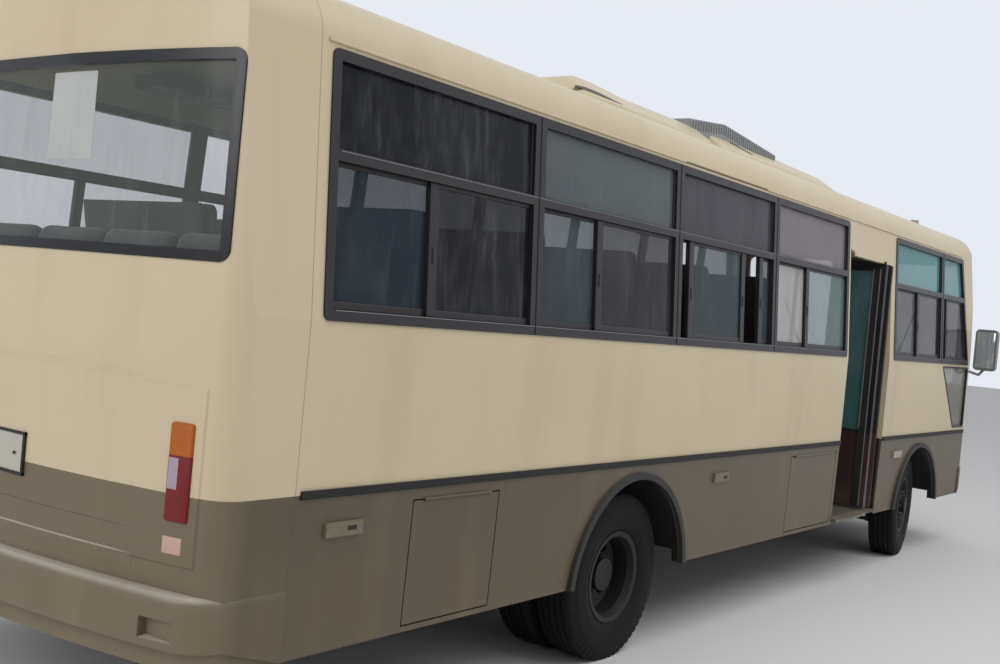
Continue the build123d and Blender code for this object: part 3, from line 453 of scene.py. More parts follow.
# Each pane's colour is a painted reflection and shade; its alpha is how solid it looks.
UPPER_PANE_PAINTED_LIGHT = [  # rear edge, colour, how solid
    (-3.800, (8, 12, 24), 0.88), (-2.555, (104, 114, 118), 0.60), (-1.345, (82, 76, 88), 0.66),
    (-0.165, (150, 138, 148), 0.60), (1.019, (118, 150, 152), 0.56), (1.978, (92, 158, 160), 0.66)]
LOWER_PANE_PAINTED_LIGHT = [
    (-3.800, (34, 48, 62), 0.62), (-3.200, (16, 18, 28), 0.80), (-2.555, (64, 80, 86), 0.56),
    (-2.061, (52, 52, 58), 0.66), (-1.345, (66, 82, 88), 0.52), (-0.165, (178, 178, 176), 0.62),
    (0.338, (126, 146, 148), 0.52), (1.019, (84, 96, 102), 0.50), (1.978, (50, 50, 56), 0.66)]
TRANSOM_Z = 2.050


def pane_ramp(f, x, panes):
    """A colour and a solidity that step from pane to pane along the body."""
    low, high = GLASS_SPAN
    stops = [((place - low) / (high - low), srgb(*colour)[:3] + (solid,)) for place, colour, solid in panes]
    ramp = f.node("ShaderNodeValToRGB", {"stops": stops}, {0: (x - low) * (1 / (high - low))}).socket.node
    ramp.color_ramp.interpolation = "CONSTANT"
    return Wire(f, ramp.outputs["Color"]), Wire(f, ramp.outputs["Alpha"])


def side_pane_glass():
    """Tinted glass with dust and dried rain, each pane with its own painted reflection and shade."""
    f = Finish("side_glass")
    x, y, z = f.axes()
    high = z.above(TRANSOM_Z)
    upper, upper_solid = pane_ramp(f, x, UPPER_PANE_PAINTED_LIGHT)
    lower, lower_solid = pane_ramp(f, x, LOWER_PANE_PAINTED_LIGHT)
    tint = f.mix(high, lower, upper)
    # Painted light: the low kerb pane is lifted to a pale grey.
    kerb = 1 - z.above(1.500)
    tint = f.mix(kerb, tint, srgb(150, 150, 142))
    far_side = y.above(0.0)
    solid = (upper_solid * high + lower_solid * (1 - high)) * (1 - far_side * 0.70)
    streak = f.noise(26.0, 4.0, (1.0, 1.0, 0.10)).above(0.62, 0.16)
    haze = f.noise(4.0, 4.0)
    smear = f.noise(9.0, 5.0, (1.0, 1.0, 0.35), 0.7).above(0.58, 0.30)
    dirt = streak * 0.10 + haze * 0.06 + smear * 0.12
    return f.done(Base_Color=f.mix(dirt, tint, srgb(150, 152, 150)), Alpha=solid + dirt * 0.3,
                  Roughness=0.05 + dirt * 0.5, Specular_IOR_Level=0.12)


def clear_glass(name, tint, solid, dust):
    """A cleaner pane: tinted, with a little haze."""
    f = Finish(name)
    haze = f.noise(3.0, 4.0)
    streak = f.noise(22.0, 3.0, (1.0, 1.0, 0.12)).above(0.62, 0.16)
    dirt = haze * 0.5 + streak * 0.5
    return f.done(Base_Color=f.mix(dirt * dust, tint, srgb(190, 194, 190)), Alpha=solid + dirt * dust * 0.6,
                  Roughness=0.05 + dirt * 0.10, Specular_IOR_Level=0.35)


dress(side_pane_glass(), "side_glass")
dress(clear_glass("end_glass", srgb(150, 162, 156), 0.10, 0.16), "end_windows")
door_glass = clear_glass("door_glass", srgb(86, 140, 140), 0.66, 0.20)
dress(door_glass, "door_glass_front", "door_glass_rear")
print("glass: side, end and door panes")

# %% [markdown]
# ## Lamps
#
# One moulded cluster holds several colours: orange on top, red below, and a pale lilac window towards
# the middle of the bus. They are one lens, so one material reads the height and the distance from the
# middle. The prisms behind the lens are a fine bump. The small square below is a pale pink reflector.

# %% Lamp lenses
ORANGE_Z = 1.070
REFLECTOR_TOP_Z = 0.840
LILAC_Z = (0.967, 1.062)
LILAC_Y = (0.930, 0.968)


def rear_lenses():
    """Orange, red and lilac lens of the tail lamps, and the reflector below them."""
    f = Finish("rear_lenses")
    x, y, z = f.axes()
    across = abs(y)
    lilac = z.between(*LILAC_Z) * across.between(*LILAC_Y)
    colour = f.mix(z.above(ORANGE_Z), srgb(122, 24, 30), srgb(182, 92, 4))
    colour = f.mix(lilac, colour, srgb(176, 160, 178))
    colour = f.mix(1 - z.above(REFLECTOR_TOP_Z), colour, srgb(206, 172, 158))
    fade = f.noise(18.0, 3.0)
    colour = f.mix(fade * 0.12, colour, srgb(140, 110, 100))
    return f.done(Base_Color=colour, Roughness=0.20 + fade * 0.12, Specular_IOR_Level=0.2,
                  Coat_Weight=0.05, Coat_Roughness=0.04, Normal=f.bump(f.ribs("Z", 60.0), 0.30, 0.0012))


def plain_lens(name, colour, dust_colour):
    """A lens of one colour with dust and fine ribs."""
    f = Finish(name)
    dust = f.noise(30.0, 3.0)
    return f.done(Base_Color=f.mix(dust * 0.5, colour, dust_colour), Roughness=0.18 + dust * 0.15,
                  Coat_Weight=0.7, Coat_Roughness=0.05, Normal=f.bump(f.ribs("Y", 55.0), 0.25, 0.0012))


MARKER_SLOTS = (-3.563, -0.691)
MARKER_Z = 0.827


def marker_lens():
    """Side markers: the rear two on each side are bare bases with a dark slot, the others pale lenses."""
    f = Finish("marker_lens")
    x, y, z = f.axes()
    grime = f.noise(40.0, 3.0)
    bare = (1 - x.above(0.5)) * (1 - z.above(1.5))
    slot = z.between(MARKER_Z - 0.007, MARKER_Z + 0.009, 0.002)
    near = 0.0
    for place in MARKER_SLOTS:
        near = x.between(place + 0.012, place + 0.058, 0.002) + near
    pale = f.mix(grime, srgb(188, 176, 156), srgb(150, 138, 120))
    base = f.mix(slot * near, f.mix(grime, srgb(134, 122, 102), srgb(104, 94, 78)), srgb(30, 26, 24))
    return f.done(Base_Color=f.mix(bare, pale, base), Roughness=0.25 + bare * 0.4)


dress(rear_lenses(), "tail_lamps")
dress(plain_lens("head_lens", srgb(214, 218, 220), srgb(170, 164, 150)), "head_lamps")
dress(marker_lens(), "marker_lamps")

# %% [markdown]
# ## Door, steel and cabin finishes
#
# The door leaves have a maroon, almost black, infill in black frames. Chassis steel is black paint under
# road dust, thickest on what faces up. The rims are nearly black, and the cabin is plain: a worn
# floor sheet and black plastic.

# %% The rest of the CAD nodes
def leaf_paint():
    """Black stile frames with a dark maroon infill below the glass."""
    f = Finish("leaf_paint")
    x, y, z = f.axes()
    wear = f.noise(8.0, 4.0)
    maroon = f.mix(wear, srgb(60, 38, 40), srgb(84, 58, 58))
    scuff = (1 - z.above(0.62, 0.2)) * wear
    colour = f.mix(z.above(0.985, 0.01), f.mix(scuff, maroon, srgb(96, 86, 76)), srgb(34, 32, 36))
    return f.done(Base_Color=colour, Roughness=0.34 + wear * 0.2)


def road_steel(name, colour, dirt_colour, amount, metallic=0.2):
    """Painted steel under road dirt, mottled and rough."""
    f = Finish(name)
    big, fine = f.noise(2.5, 4.0), f.noise(45.0, 4.0)
    dirt = (big * 0.8 + fine * 0.4 + f.upward() * 0.15) * amount
    return f.done(Base_Color=f.mix(dirt, colour, dirt_colour), Metallic=metallic,
                  Roughness=0.45 + fine * 0.3, Normal=f.bump(fine, 0.3, 0.001))


def cloth_finish(name, colour, other, scale=60.0):
    """Woven cloth: fine waves along each axis, with fading."""
    f = Finish(name)
    place = {"Vector": f.spot, "Scale": scale}
    warp, weft, tall = [f.node("ShaderNodeTexWave", {"bands_direction": way}, place) for way in "YXZ"]
    weave = (warp + weft + tall) * 0.333
    fade = f.noise(4.0, 4.0)
    shade = f.mix(weave * 0.6 + fade * 0.4, colour, other)
    f.feed(f.shader.inputs["Sheen Weight"], 0.3)
    return f.done(Base_Color=shade, Roughness=0.85, Normal=f.bump(weave, 0.15, 0.0006))


def worn_sheet(name, colour, dirt_colour, roughness=0.5):
    """Sheet vinyl or lining board with traffic wear."""
    f = Finish(name)
    cloud, grit = f.noise(1.6, 5.0), f.noise(160.0, 2.0)
    return f.done(Base_Color=f.mix(cloud * 0.7 + grit * 0.2, colour, dirt_colour),
                  Roughness=roughness + grit * 0.15, Normal=f.bump(grit, 0.2, 0.0008))


dark_steel = road_steel("chassis_steel", srgb(34, 32, 31), srgb(92, 82, 68), 0.75)
rim_paint = road_steel("rim_paint", srgb(15, 15, 16), srgb(40, 36, 32), 0.55)
black_plastic = worn_sheet("black_plastic", srgb(38, 37, 38), srgb(74, 72, 70))
dress(leaf_paint(), "door_leaf_front", "door_leaf_rear")
dress(dark_steel, "chassis_frame", "floor_bearers", "leaf_springs", "rear_axle", "track_rod", "tow_eyes",
      "front_axle_beam", "knuckle_right", "knuckle_left", "driveline", "fuel_tank")
# The arch liners are darkened to near-black: black plastic, with painted shade inside the arches.
dress(road_steel("liner_black_and_shade", srgb(9, 9, 9), srgb(24, 22, 20), 0.4, 0.0), "arch_liners")
dress(rim_paint, "front_rim_right", "front_rim_left", "rear_rims_right", "rear_rims_left")
dress(worn_sheet("floor_sheet", srgb(104, 98, 88), srgb(74, 66, 56)), "floor_deck", "entry_steps")
dress(road_steel("engine_iron", srgb(58, 58, 58), srgb(84, 74, 62), 0.6), "engine_block")
dress(road_steel("seat_steel", srgb(70, 70, 72), srgb(92, 88, 82), 0.4), "seat_frames")
pole_steel = road_steel("pole_steel", srgb(150, 148, 144), srgb(120, 114, 104), 0.4, 0.8)
dress(black_plastic, "dashboard", "steering_wheel")
dress(worn_sheet("mirror_shell", srgb(128, 134, 134), srgb(104, 106, 104), 0.3), "mirrors")

# %% [markdown]
# ## Helpers for pieces
#
# Every piece ends the same way: a mesh whose place is in its points, an object at the origin, a material
# and a body to ride on. `keep` does that. `touch` sends a ray at the CAD surfaces, so a screw or a seal
# sits exactly on the sheet that carries it, even where that sheet is bowed. `skin` stretches faces over a
# row of point rings, which is how most of the long forms here are made.

# %% Keep, touch, skin, strip and block
TREES = {}
SIDES = (("right", -1), ("left", 1))


def touch(node, start, direction):
    """Where a ray from start first meets a CAD node."""
    if node not in TREES:
        bm = bmesh.new()
        bm.from_mesh(NODES[node].data)
        TREES[node] = mathutils.bvhtree.BVHTree.FromBMesh(bm)
        bm.free()
    hit = TREES[node].ray_cast(V(start), V(direction))[0]
    return hit if hit else V(start)


def keep(name, mesh, material, body="body", smooth=False):
    """Make a finished mesh a piece that rides on a body."""
    mesh.materials.clear()
    mesh.materials.append(material)
    for face in mesh.polygons:
        face.use_smooth = smooth
    piece = link(bpy.data.objects.new(name, mesh))
    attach(piece, body)
    return piece


def sharpen(piece, degrees):
    """Keep smooth shading only where faces meet at less than an angle."""
    piece.data.set_sharp_from_angle(angle=math.radians(degrees))


def to_mesh(bm, name):
    """Close up a bmesh with its faces outwards and return it as a mesh."""
    bmesh.ops.remove_doubles(bm, verts=bm.verts, dist=1e-6)
    bmesh.ops.recalc_face_normals(bm, faces=bm.faces)
    mesh = bpy.data.meshes.new(name)
    bm.to_mesh(mesh)
    bm.free()
    return mesh


def skin(bm, rings, closed=False):
    """Faces between rings of points, with end faces unless the rings meet again."""
    count, faces = len(rings[0]), []
    for first, second in zip(rings, rings[1:] + rings[:1] if closed else rings[1:]):
        for k in range(count):
            m = (k + 1) % count
            faces.append(bm.faces.new((first[k], first[m], second[m], second[k])))
    if not closed:
        faces += [bm.faces.new(rings[0]), bm.faces.new(list(reversed(rings[-1])))]
    return faces


def block(bm, low, high, bevel=0.002):
    """A box between two corners with rounded edges."""
    low, high = V(low), V(high)
    made = bmesh.ops.create_cube(bm, size=1.0)["verts"]
    for vert in made:
        vert.co = V([(low[n] + high[n]) / 2 + vert.co[n] * (high[n] - low[n]) for n in range(3)])
    edges = list({edge for vert in made for edge in vert.link_edges})
    bmesh.ops.bevel(bm, geom=edges, offset=bevel, segments=2, affect="EDGES", profile=0.5)


def strip(bm, points, across, out):
    """A bar of rectangular section along points; across and out are its half width and its height."""
    across, out = V(across), V(out)
    corners = ((-1, 0), (1, 0), (1, 1), (-1, 1))
    skin(bm, [[bm.verts.new(V(place) + across * a + out * b) for a, b in corners] for place in points])


def lathe(bm, profile, centre, axis, segments=32):
    """Turn a profile of (radius, height) about an axis through a centre."""
    turn = V(axis).to_track_quat("Z", "Y").to_matrix()
    rings = []
    for radius, height in profile:
        ring = []
        for n in range(segments if radius > 1e-6 else 1):
            angle = math.tau * n / segments
            spot = V((radius * math.cos(angle), radius * math.sin(angle), height))
            ring.append(bm.verts.new(V(centre) + turn @ spot))
        rings.append(ring)
    for first, second in zip(rings, rings[1:]):
        for n in range(segments):
            m = (n + 1) % segments
            corners = [first[n % len(first)], first[m % len(first)], second[m % len(second)],
                       second[n % len(second)]]
            corners = list(dict.fromkeys(corners))
            if len(corners) > 2:
                bm.faces.new(corners)


# %% [markdown]
# ## Tyres
#
# A tyre is a turned shape with a pattern that repeats round it, so each is a ring of slices. One slice
# holds the section from bead to bead. Four grooves wander a little from side to side as the slices go
# round, and the shoulder has small notches across it. The foot is pressed flat where it stands.

# %% Turn the tyres
AXLE_Z = 0.390
REAR_AXLE_X, FRONT_AXLE_X = -1.577, 2.813
REAR_WHEELS_Y = (0.958, 0.722)
FRONT_WHEEL_Y = 0.950
KINGPIN_Y = 0.820
STEER_DEG = 8.0
SLICES = 240
SIDE_LINE = [(0.0780, 0.2045), (0.0780, 0.2175), (0.0860, 0.2240), (0.0945, 0.2420), (0.0995, 0.2640),
             (0.1005, 0.2700), (0.1015, 0.2705), (0.1018, 0.2755), (0.1010, 0.2765), (0.1024, 0.3000),
             (0.1024, 0.3140), (0.1010, 0.3350), (0.1000, 0.3400), (0.1008, 0.3408), (0.1000, 0.3450),
             (0.0988, 0.3455), (0.0965, 0.3650), (0.0930, 0.3800), (0.0885, 0.3910), (0.0780, 0.3975)]
GROOVES = [-0.052, -0.0175, 0.0175, 0.052]
GROOVE_HALF, GROOVE_FOOT, GROOVE_DEEP = 0.0050, 0.0032, 0.0085
WANDER, WANDER_TURNS = 0.0026, 40
NOTCH = 0.0045


def crown(y):
    """Radius of the tread at a distance from its middle."""
    return 0.4016 - 0.0041 * (y / 0.078) ** 2


def tyre_section(angle):
    """Points (y, radius) from bead to bead at one angle, with wandering grooves and notched shoulders."""
    tread = []
    for n, middle in enumerate(GROOVES):
        phase = math.pi * (n % 2)
        y = middle + WANDER * math.sin(WANDER_TURNS * angle + phase)
        for step, drop in ((-GROOVE_HALF, 0), (-GROOVE_FOOT, 1), (GROOVE_FOOT, 1), (GROOVE_HALF, 0)):
            tread.append((y + step, crown(y + step) - drop * GROOVE_DEEP))
    in_notch = math.sin(60 * angle) > 0.45
    side = []
    for y, radius in SIDE_LINE:
        cut = NOTCH if in_notch and 0.360 < radius < 0.395 else 0.0
        side.append((y - cut * 0.8, radius - cut))
    return [(-y, r) for y, r in side] + tread + [(y, r) for y, r in reversed(side)]


def add_tyre(bm, centre_y):
    """One tyre in a bmesh, its axle along Y through x 0 and z AXLE_Z."""
    rings = []
    for n in range(SLICES):
        angle = math.tau * n / SLICES
        ring = []
        for y, radius in tyre_section(angle):
            z = max(AXLE_Z + radius * math.sin(angle), 0.0)
            ring.append(bm.verts.new((radius * math.cos(angle), centre_y + y, z)))
        rings.append(ring)
    skin(bm, rings, closed=True)


def wheel_place(front, sign):
    """The matrix that takes a wheel from the axle line to its place, steered at the front."""
    if not front:
        return MOVE((REAR_AXLE_X, 0, 0))
    pin = MOVE((0, sign * KINGPIN_Y, 0))
    turn = pin @ mathutils.Matrix.Rotation(math.radians(STEER_DEG), 4, "Z") @ pin.inverted()
    return MOVE((FRONT_AXLE_X, 0, 0)) @ turn


def tyre_finish():
    """Black rubber, greyer where dust has caught."""
    f = Finish("tyre_rubber")
    fine, cloud = f.noise(160.0, 3.0), f.noise(7.0, 4.0)
    dust = cloud * 0.55 + fine * 0.2
    return f.done(Base_Color=f.mix(dust, srgb(9, 9, 10), srgb(34, 32, 31)), Specular_IOR_Level=0.2,
                  Roughness=0.62 + fine * 0.2, Normal=f.bump(fine, 0.25, 0.0008))


tyre_rubber = tyre_finish()
for side, sign in SIDES:
    for front in (True, False):
        bm = bmesh.new()
        for y in (FRONT_WHEEL_Y,) if front else REAR_WHEELS_Y:
            add_tyre(bm, sign * y)
        bm.transform(wheel_place(front, sign))
        node = f"front_tyre_{side}" if front else f"rear_tyres_{side}"
        body = f"wheel_front_{side}" if front else f"wheels_rear_{side}"
        piece = keep(f"{node}_tread", to_mesh(bm, node), tyre_rubber, body, smooth=True)
        sharpen(piece, 28)
        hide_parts(node)
print("tyres:", SLICES, "slices each")

# %% [markdown]
# ## Wheel nuts, with Geometry Nodes
#
# Nuts sit on a circle, so a circle makes them: its points carry one six-sided nut each. The tree has
# named inputs for how many, how far out and how big, and the same tree serves every wheel. Two more put
# nuts, or upright ribs, on a straight line. Realize Instances at the end makes real mesh of the repeats.

# %% Nuts on circles and lines
def new_tree(name, inputs):
    """An empty Geometry Nodes tree with named inputs and a geometry output."""
    tree = bpy.data.node_groups.new(name, "GeometryNodeTree")
    tree.interface.new_socket("Geometry", in_out="OUTPUT", socket_type="NodeSocketGeometry")
    sockets = {}
    for title, kind in inputs:
        sockets[title] = tree.interface.new_socket(title, in_out="INPUT", socket_type=kind).identifier
    return tree, sockets, tree.nodes.new("NodeGroupInput"), tree.nodes.new("NodeGroupOutput")


def finish_tree(tree, given, out, instances):
    """Realize the instances, give them the material input and end the tree."""
    real = tree.nodes.new("GeometryNodeRealizeInstances")
    paint = tree.nodes.new("GeometryNodeSetMaterial")
    tree.links.new(instances, real.inputs[0])
    tree.links.new(real.outputs[0], paint.inputs["Geometry"])
    tree.links.new(given.outputs["Material"], paint.inputs["Material"])
    tree.links.new(paint.outputs[0], out.inputs[0])


def nut_tree(path_kind):
    """Nuts on the points of a circle or of a straight line, or ribs on a line."""
    spread_by = ("Radius", "NodeSocketFloat") if path_kind == "circle" else ("Step", "NodeSocketVector")
    shape = [("Rib Size", "NodeSocketVector")] if path_kind == "ribs" else [
        ("Sides", "NodeSocketInt"), ("Size", "NodeSocketFloat"), ("Height", "NodeSocketFloat")]
    sizes = [("Count", "NodeSocketInt"), spread_by, *shape, ("Material", "NodeSocketMaterial")]
    tree, sockets, given, out = new_tree(f"nuts_on_{path_kind}", sizes)

    def wire(title, node, socket):
        tree.links.new(given.outputs[title], node.inputs[socket])

    if path_kind == "circle":
        path = tree.nodes.new("GeometryNodeMeshCircle")
        wire("Count", path, "Vertices")
        wire("Radius", path, "Radius")
    else:
        path = tree.nodes.new("GeometryNodeMeshLine")
        wire("Count", path, "Count")
        wire("Step", path, "Offset")
    if path_kind == "ribs":
        copied = tree.nodes.new("GeometryNodeMeshCube")
        wire("Rib Size", copied, "Size")
    else:
        copied = tree.nodes.new("GeometryNodeMeshCone")
        top = tree.nodes.new("ShaderNodeMath")
        top.operation = "MULTIPLY"
        top.inputs[1].default_value = NUT_TAPER
        wire("Sides", copied, "Vertices")
        wire("Size", copied, "Radius Bottom")
        wire("Size", top, 0)
        tree.links.new(top.outputs[0], copied.inputs["Radius Top"])
        wire("Height", copied, "Depth")
    spread = tree.nodes.new("GeometryNodeInstanceOnPoints")
    tree.links.new(path.outputs[0], spread.inputs["Points"])
    tree.links.new(copied.outputs["Mesh"], spread.inputs["Instance"])
    finish_tree(tree, given, out, spread.outputs[0])
    return tree, sockets


NUT_TAPER = 0.80
NUT_TREES = {kind: nut_tree(kind) for kind in ("circle", "line", "ribs")}


def nuts(kind, material, place, **sizes):
    """Run a nut tree once and return its mesh, moved to its place."""
    tree, sockets = NUT_TREES[kind]
    holder = link(bpy.data.objects.new("holder", bpy.data.meshes.new("holder")))
    modifier = holder.modifiers.new("nuts", "NODES")
    modifier.node_group = tree
    for title, value in {**sizes, "Material": material}.items():
        modifier[sockets[title]] = value
    mesh = applied(holder)
    bpy.data.objects.remove(holder)
    mesh.transform(place)
    return mesh


def one_bolt(material, direction, place, sides, size, height):
    """A single bolt head standing along a direction."""
    return nuts("line", material, facing(direction, place), Count=1, Step=(0.0, 0.0, 0.0), Sides=sides,
                Size=size, Height=height)


def join(meshes, name):
    """Several meshes as one."""
    bm = bmesh.new()
    for mesh in meshes:
        bm.from_mesh(mesh)
    joined = bpy.data.meshes.new(name)
    bm.to_mesh(joined)
    bm.free()
    return joined


def facing(direction, place):
    """A matrix that stands +Z along a direction at a place."""
    return MOVE(place) @ V(direction).to_track_quat("Z", "Y").to_matrix().to_4x4()


nut_steel = road_steel("nut_steel", srgb(46, 42, 40), srgb(84, 66, 50), 0.6, 0.4)
NUT_CIRCLE, NUT_COUNT = 0.101, 10
for side, sign in SIDES:
    for front in (True, False):
        place = wheel_place(front, sign)
        out = place.to_3x3() @ V((0, sign, 0))
        rim = f"front_rim_{side}" if front else f"rear_rims_{side}"
        probe = place @ V((NUT_CIRCLE, sign * 1.2, AXLE_Z + 0.012))
        face = place.inverted() @ touch(rim, probe, -out)
        middle = place @ V((0, face.y + sign * 0.006, AXLE_Z))
        body = f"wheel_front_{side}" if front else f"wheels_rear_{side}"
        ring = nuts("circle", nut_steel, facing(out, middle), Count=NUT_COUNT, Radius=NUT_CIRCLE, Sides=6,
                    Size=0.0155, Height=0.017)
        keep(f"wheel_nuts_{'front' if front else 'rear'}_{side}", ring, nut_steel, body)
print("wheel nuts:", NUT_COUNT, "a wheel")

# %% [markdown]
# ## Seats
#
# Foam seats under tight cloth bulge: flat in the middle, round at the edges, pulled in at the corners.
# Drawing that by hand looks stiff, so one cushion and one back are blown up a little with the cloth
# solver, which gives the roundness for free. Each is then copied to its places, two seats to a frame. The
# driver's seat and the five places of the rear bench are made the same way.

# %% Blow up the pads
SEAT_STEP = 0.770
FIRST_SEAT_X = -3.030
PAIR_Y = 0.593
SEAT_W = 0.425
SEAT_ROWS = {"right": 5, "left": 7}
PAD_LIMIT = 0.014
CUSHION_Z = 1.315
BACK_LEAN = -11
BENCH_PLACES, BENCH_W = 5, 0.402


def pad(name, size, voxel, edge=0.022):
    """A padded block about the origin, swollen by the cloth solver."""
    bm = bmesh.new()
    half = [s / 2 - 0.007 for s in size]
    block(bm, [-h for h in half], half, edge)
    holder = link(bpy.data.objects.new(name, to_mesh(bm, name)))
    scene = bpy.context.scene
    remesh = holder.modifiers.new("remesh", "REMESH")
    remesh.mode = "VOXEL"
    remesh.voxel_size = voxel
    dense = applied(holder)
    holder.modifiers.clear()
    holder.data = dense
    cloth = holder.modifiers.new("cloth", "CLOTH")
    cloth.settings.use_pressure = True
    cloth.settings.uniform_pressure_force = 4.0
    cloth.settings.effector_weights.gravity = 0.0
    for step in range(1, 21):
        scene.frame_set(step)
    swollen = applied(holder)
    for old, new in zip(dense.vertices, swollen.vertices):
        move = new.co - old.co
        if move.length > PAD_LIMIT:
            move = move.normalized() * PAD_LIMIT
        old.co = old.co + move
    scene.frame_set(1)
    bpy.data.objects.remove(holder)
    return dense


def back_place(x, y, z):
    """Where a leaning seat back stands."""
    return MOVE((x, y, z)) @ mathutils.Matrix.Rotation(math.radians(BACK_LEAN), 4, "Y")


def seat_places(side, sign):
    """Matrices of the cushions and of the backs of one side."""
    cushions, backs = [], []
    for n in range(SEAT_ROWS[side]):
        x = FIRST_SEAT_X + SEAT_STEP * n
        for shift in (-1, 1):
            y = sign * PAIR_Y + shift * (SEAT_W / 2 + 0.002)
            cushions.append(MOVE((x + 0.190, y, CUSHION_Z)))
            backs.append(back_place(x - 0.075, y, 1.665))
    return cushions, backs


def placed(mesh, places):
    """Copies of a mesh at each place."""
    copies = []
    for place in places:
        copy = mesh.copy()
        copy.transform(place)
        copies.append(copy)
    return copies


seat_cloth = cloth_finish("seat_cloth", srgb(58, 55, 62), srgb(84, 80, 84))
cushion = pad("cushion", (0.440, SEAT_W, 0.110), 0.020)
back = pad("back", (0.100, SEAT_W, 0.590), 0.020)
for side, sign in SIDES:
    cushions, backs = seat_places(side, sign)
    rows = join(placed(cushion, cushions) + placed(back, backs), f"seats_{side}")
    piece = keep(f"seats_{side}", rows, seat_cloth, "body", smooth=True)
    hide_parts("seat_pads")
driver = placed(pad("driver_cushion", (0.450, 0.470, 0.110), 0.018), [MOVE((3.185, 0.700, CUSHION_Z))])
driver += placed(pad("driver_back", (0.110, 0.470, 0.620), 0.018), [back_place(2.898, 0.700, 1.670)])
piece = keep("driver_seat", join(driver, "driver_seat"), seat_cloth, "body", smooth=True)
bench_cushion = pad("bench_cushion", (0.440, BENCH_W, 0.110), 0.020)
bench_back = pad("bench_back", (0.100, BENCH_W, 0.440), 0.018, 0.042)
across = [BENCH_W * (n - (BENCH_PLACES - 1) / 2) for n in range(BENCH_PLACES)]
bench = placed(bench_cushion, [MOVE((-3.660, y, CUSHION_Z)) for y in across])
bench += placed(bench_back, [MOVE((-3.915, y, 1.560)) for y in across])
bench = join(bench, "rear_bench_pads")
piece = keep("rear_bench_pads", bench, seat_cloth, "body", smooth=True)
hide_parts("rear_bench")
print("seats:", 2 * sum(SEAT_ROWS.values()), "places, the driver's and the rear bench")

# %% [markdown]
# ## Window units
#
# Each window is a fixed upper pane over two that slide past each other, the front one a little further
# in. The walls lean inwards towards the roof, so panes and bars are drawn in plain coordinates of
# along, depth and height, and every point is then moved onto the leaning wall. On the door side one
# sash stands open and leaves a dark gap at each end.

# %% Panes and sash bars on the leaning wall
HALF_WIDTH = 1.130
SILL_Z, BAND_TOP_Z = 1.512, 2.392
LEAN = 0.065 / (BAND_TOP_Z - SILL_Z)
FRAME_BAR = 0.038
BAND_REAR_X = -3.742
UNITS = {
    "right": [[BAND_REAR_X, -2.555, -1.345, -0.165, 1.019], [1.978, 3.157, 3.958]],
    "left": [[BAND_REAR_X, -2.555, -1.345, -0.165, 1.019, 2.088, 3.157, 3.958]],
}
SASH_STILES = [-3.200, -2.061, -0.755, 0.338, 1.553, 2.548, 3.316]
OPEN_SASH = (-1.188, -0.580)
STILE_HALF = 0.024
LOWER_Z = (SILL_Z + FRAME_BAR, TRANSOM_Z - FRAME_BAR / 2)
UPPER_Z = (TRANSOM_Z + FRAME_BAR / 2, BAND_TOP_Z - FRAME_BAR)
KERB_PANE = [(3.247, 1.478), (3.957, 1.478), (3.968, 1.001), (3.676, 1.001)]


def half_at(z):
    """Half the body's width at a height in the window band."""
    return HALF_WIDTH - LEAN * max(0.0, z - SILL_Z)


def onto_wall(bm, sign):
    """Move points drawn as (along, depth, height) onto one side wall."""
    for vert in bm.verts:
        vert.co.y = sign * (half_at(vert.co.z) - vert.co.y)


def unit_bounds(side):
    """Each window as (rear edge, front edge), pillars left out."""
    spans = []
    for run in UNITS[side]:
        for rear, front in zip(run, run[1:]):
            spans.append((rear + FRAME_BAR, front - FRAME_BAR))
    return spans


def sash_plan(side, low, high):
    """The panes (ends, depth) and the stiles of one window's lower half."""
    if side == "right" and low < OPEN_SASH[0] < high:
        return [(*OPEN_SASH, 0.014), (-0.360, high, 0.024)], [*OPEN_SASH, -0.346]
    stile = [x for x in SASH_STILES if low < x < high][0]
    return [(low, stile, 0.024), (stile, high, 0.014)], [stile]


for side, sign in SIDES:
    glass, bars = bmesh.new(), bmesh.new()
    for low, high in unit_bounds(side):
        block(glass, (low, 0.014, UPPER_Z[0]), (high, 0.019, UPPER_Z[1]), 0.0004)
        panes, stiles = sash_plan(side, low, high)
        for first, last, depth in panes:
            block(glass, (first, depth, LOWER_Z[0]), (last, depth + 0.005, LOWER_Z[1]), 0.0004)
            for z, rise in ((LOWER_Z[0], 0.026), (LOWER_Z[1], -0.016)):
                ends = sorted((z, z + rise))
                block(bars, (first, depth - 0.005, ends[0]), (last, depth + 0.010, ends[1]), 0.0020)
        for x in stiles:
            block(bars, (x - STILE_HALF, 0.004, LOWER_Z[0]), (x + STILE_HALF, 0.030, LOWER_Z[1]), 0.0035)
            block(bars, (x - 0.006, 0.000, 1.742), (x + 0.010, 0.010, 1.800), 0.0030)
        for ends in ((low, low + 0.010), (high - 0.010, high)):
            block(bars, (ends[0], 0.006, UPPER_Z[0]), (ends[1], 0.024, UPPER_Z[1]), 0.0025)
    onto_wall(glass, sign)
    onto_wall(bars, sign)
    skin(glass, [[glass.verts.new((x, sign * y, z)) for x, z in KERB_PANE] for y in (1.116, 1.111)])
    panes = keep(f"side_panes_{side}", to_mesh(glass, "panes"), NODES["side_glass"].data.materials[0],
                 "body")
    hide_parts("side_glass")
    keep(f"sash_bars_{side}", to_mesh(bars, "bars"), window_black, "body")
print("windows:", sum(len(unit_bounds(side)) for side in UNITS), "units with sliding sashes")

# %% [markdown]
# ## Unit joints
#
# The window units are bought in and bolted side by side, so a thin dark line runs down the middle of
# every pillar. A thin pale strip along the transom and the sill is a painted highlight on their edges.

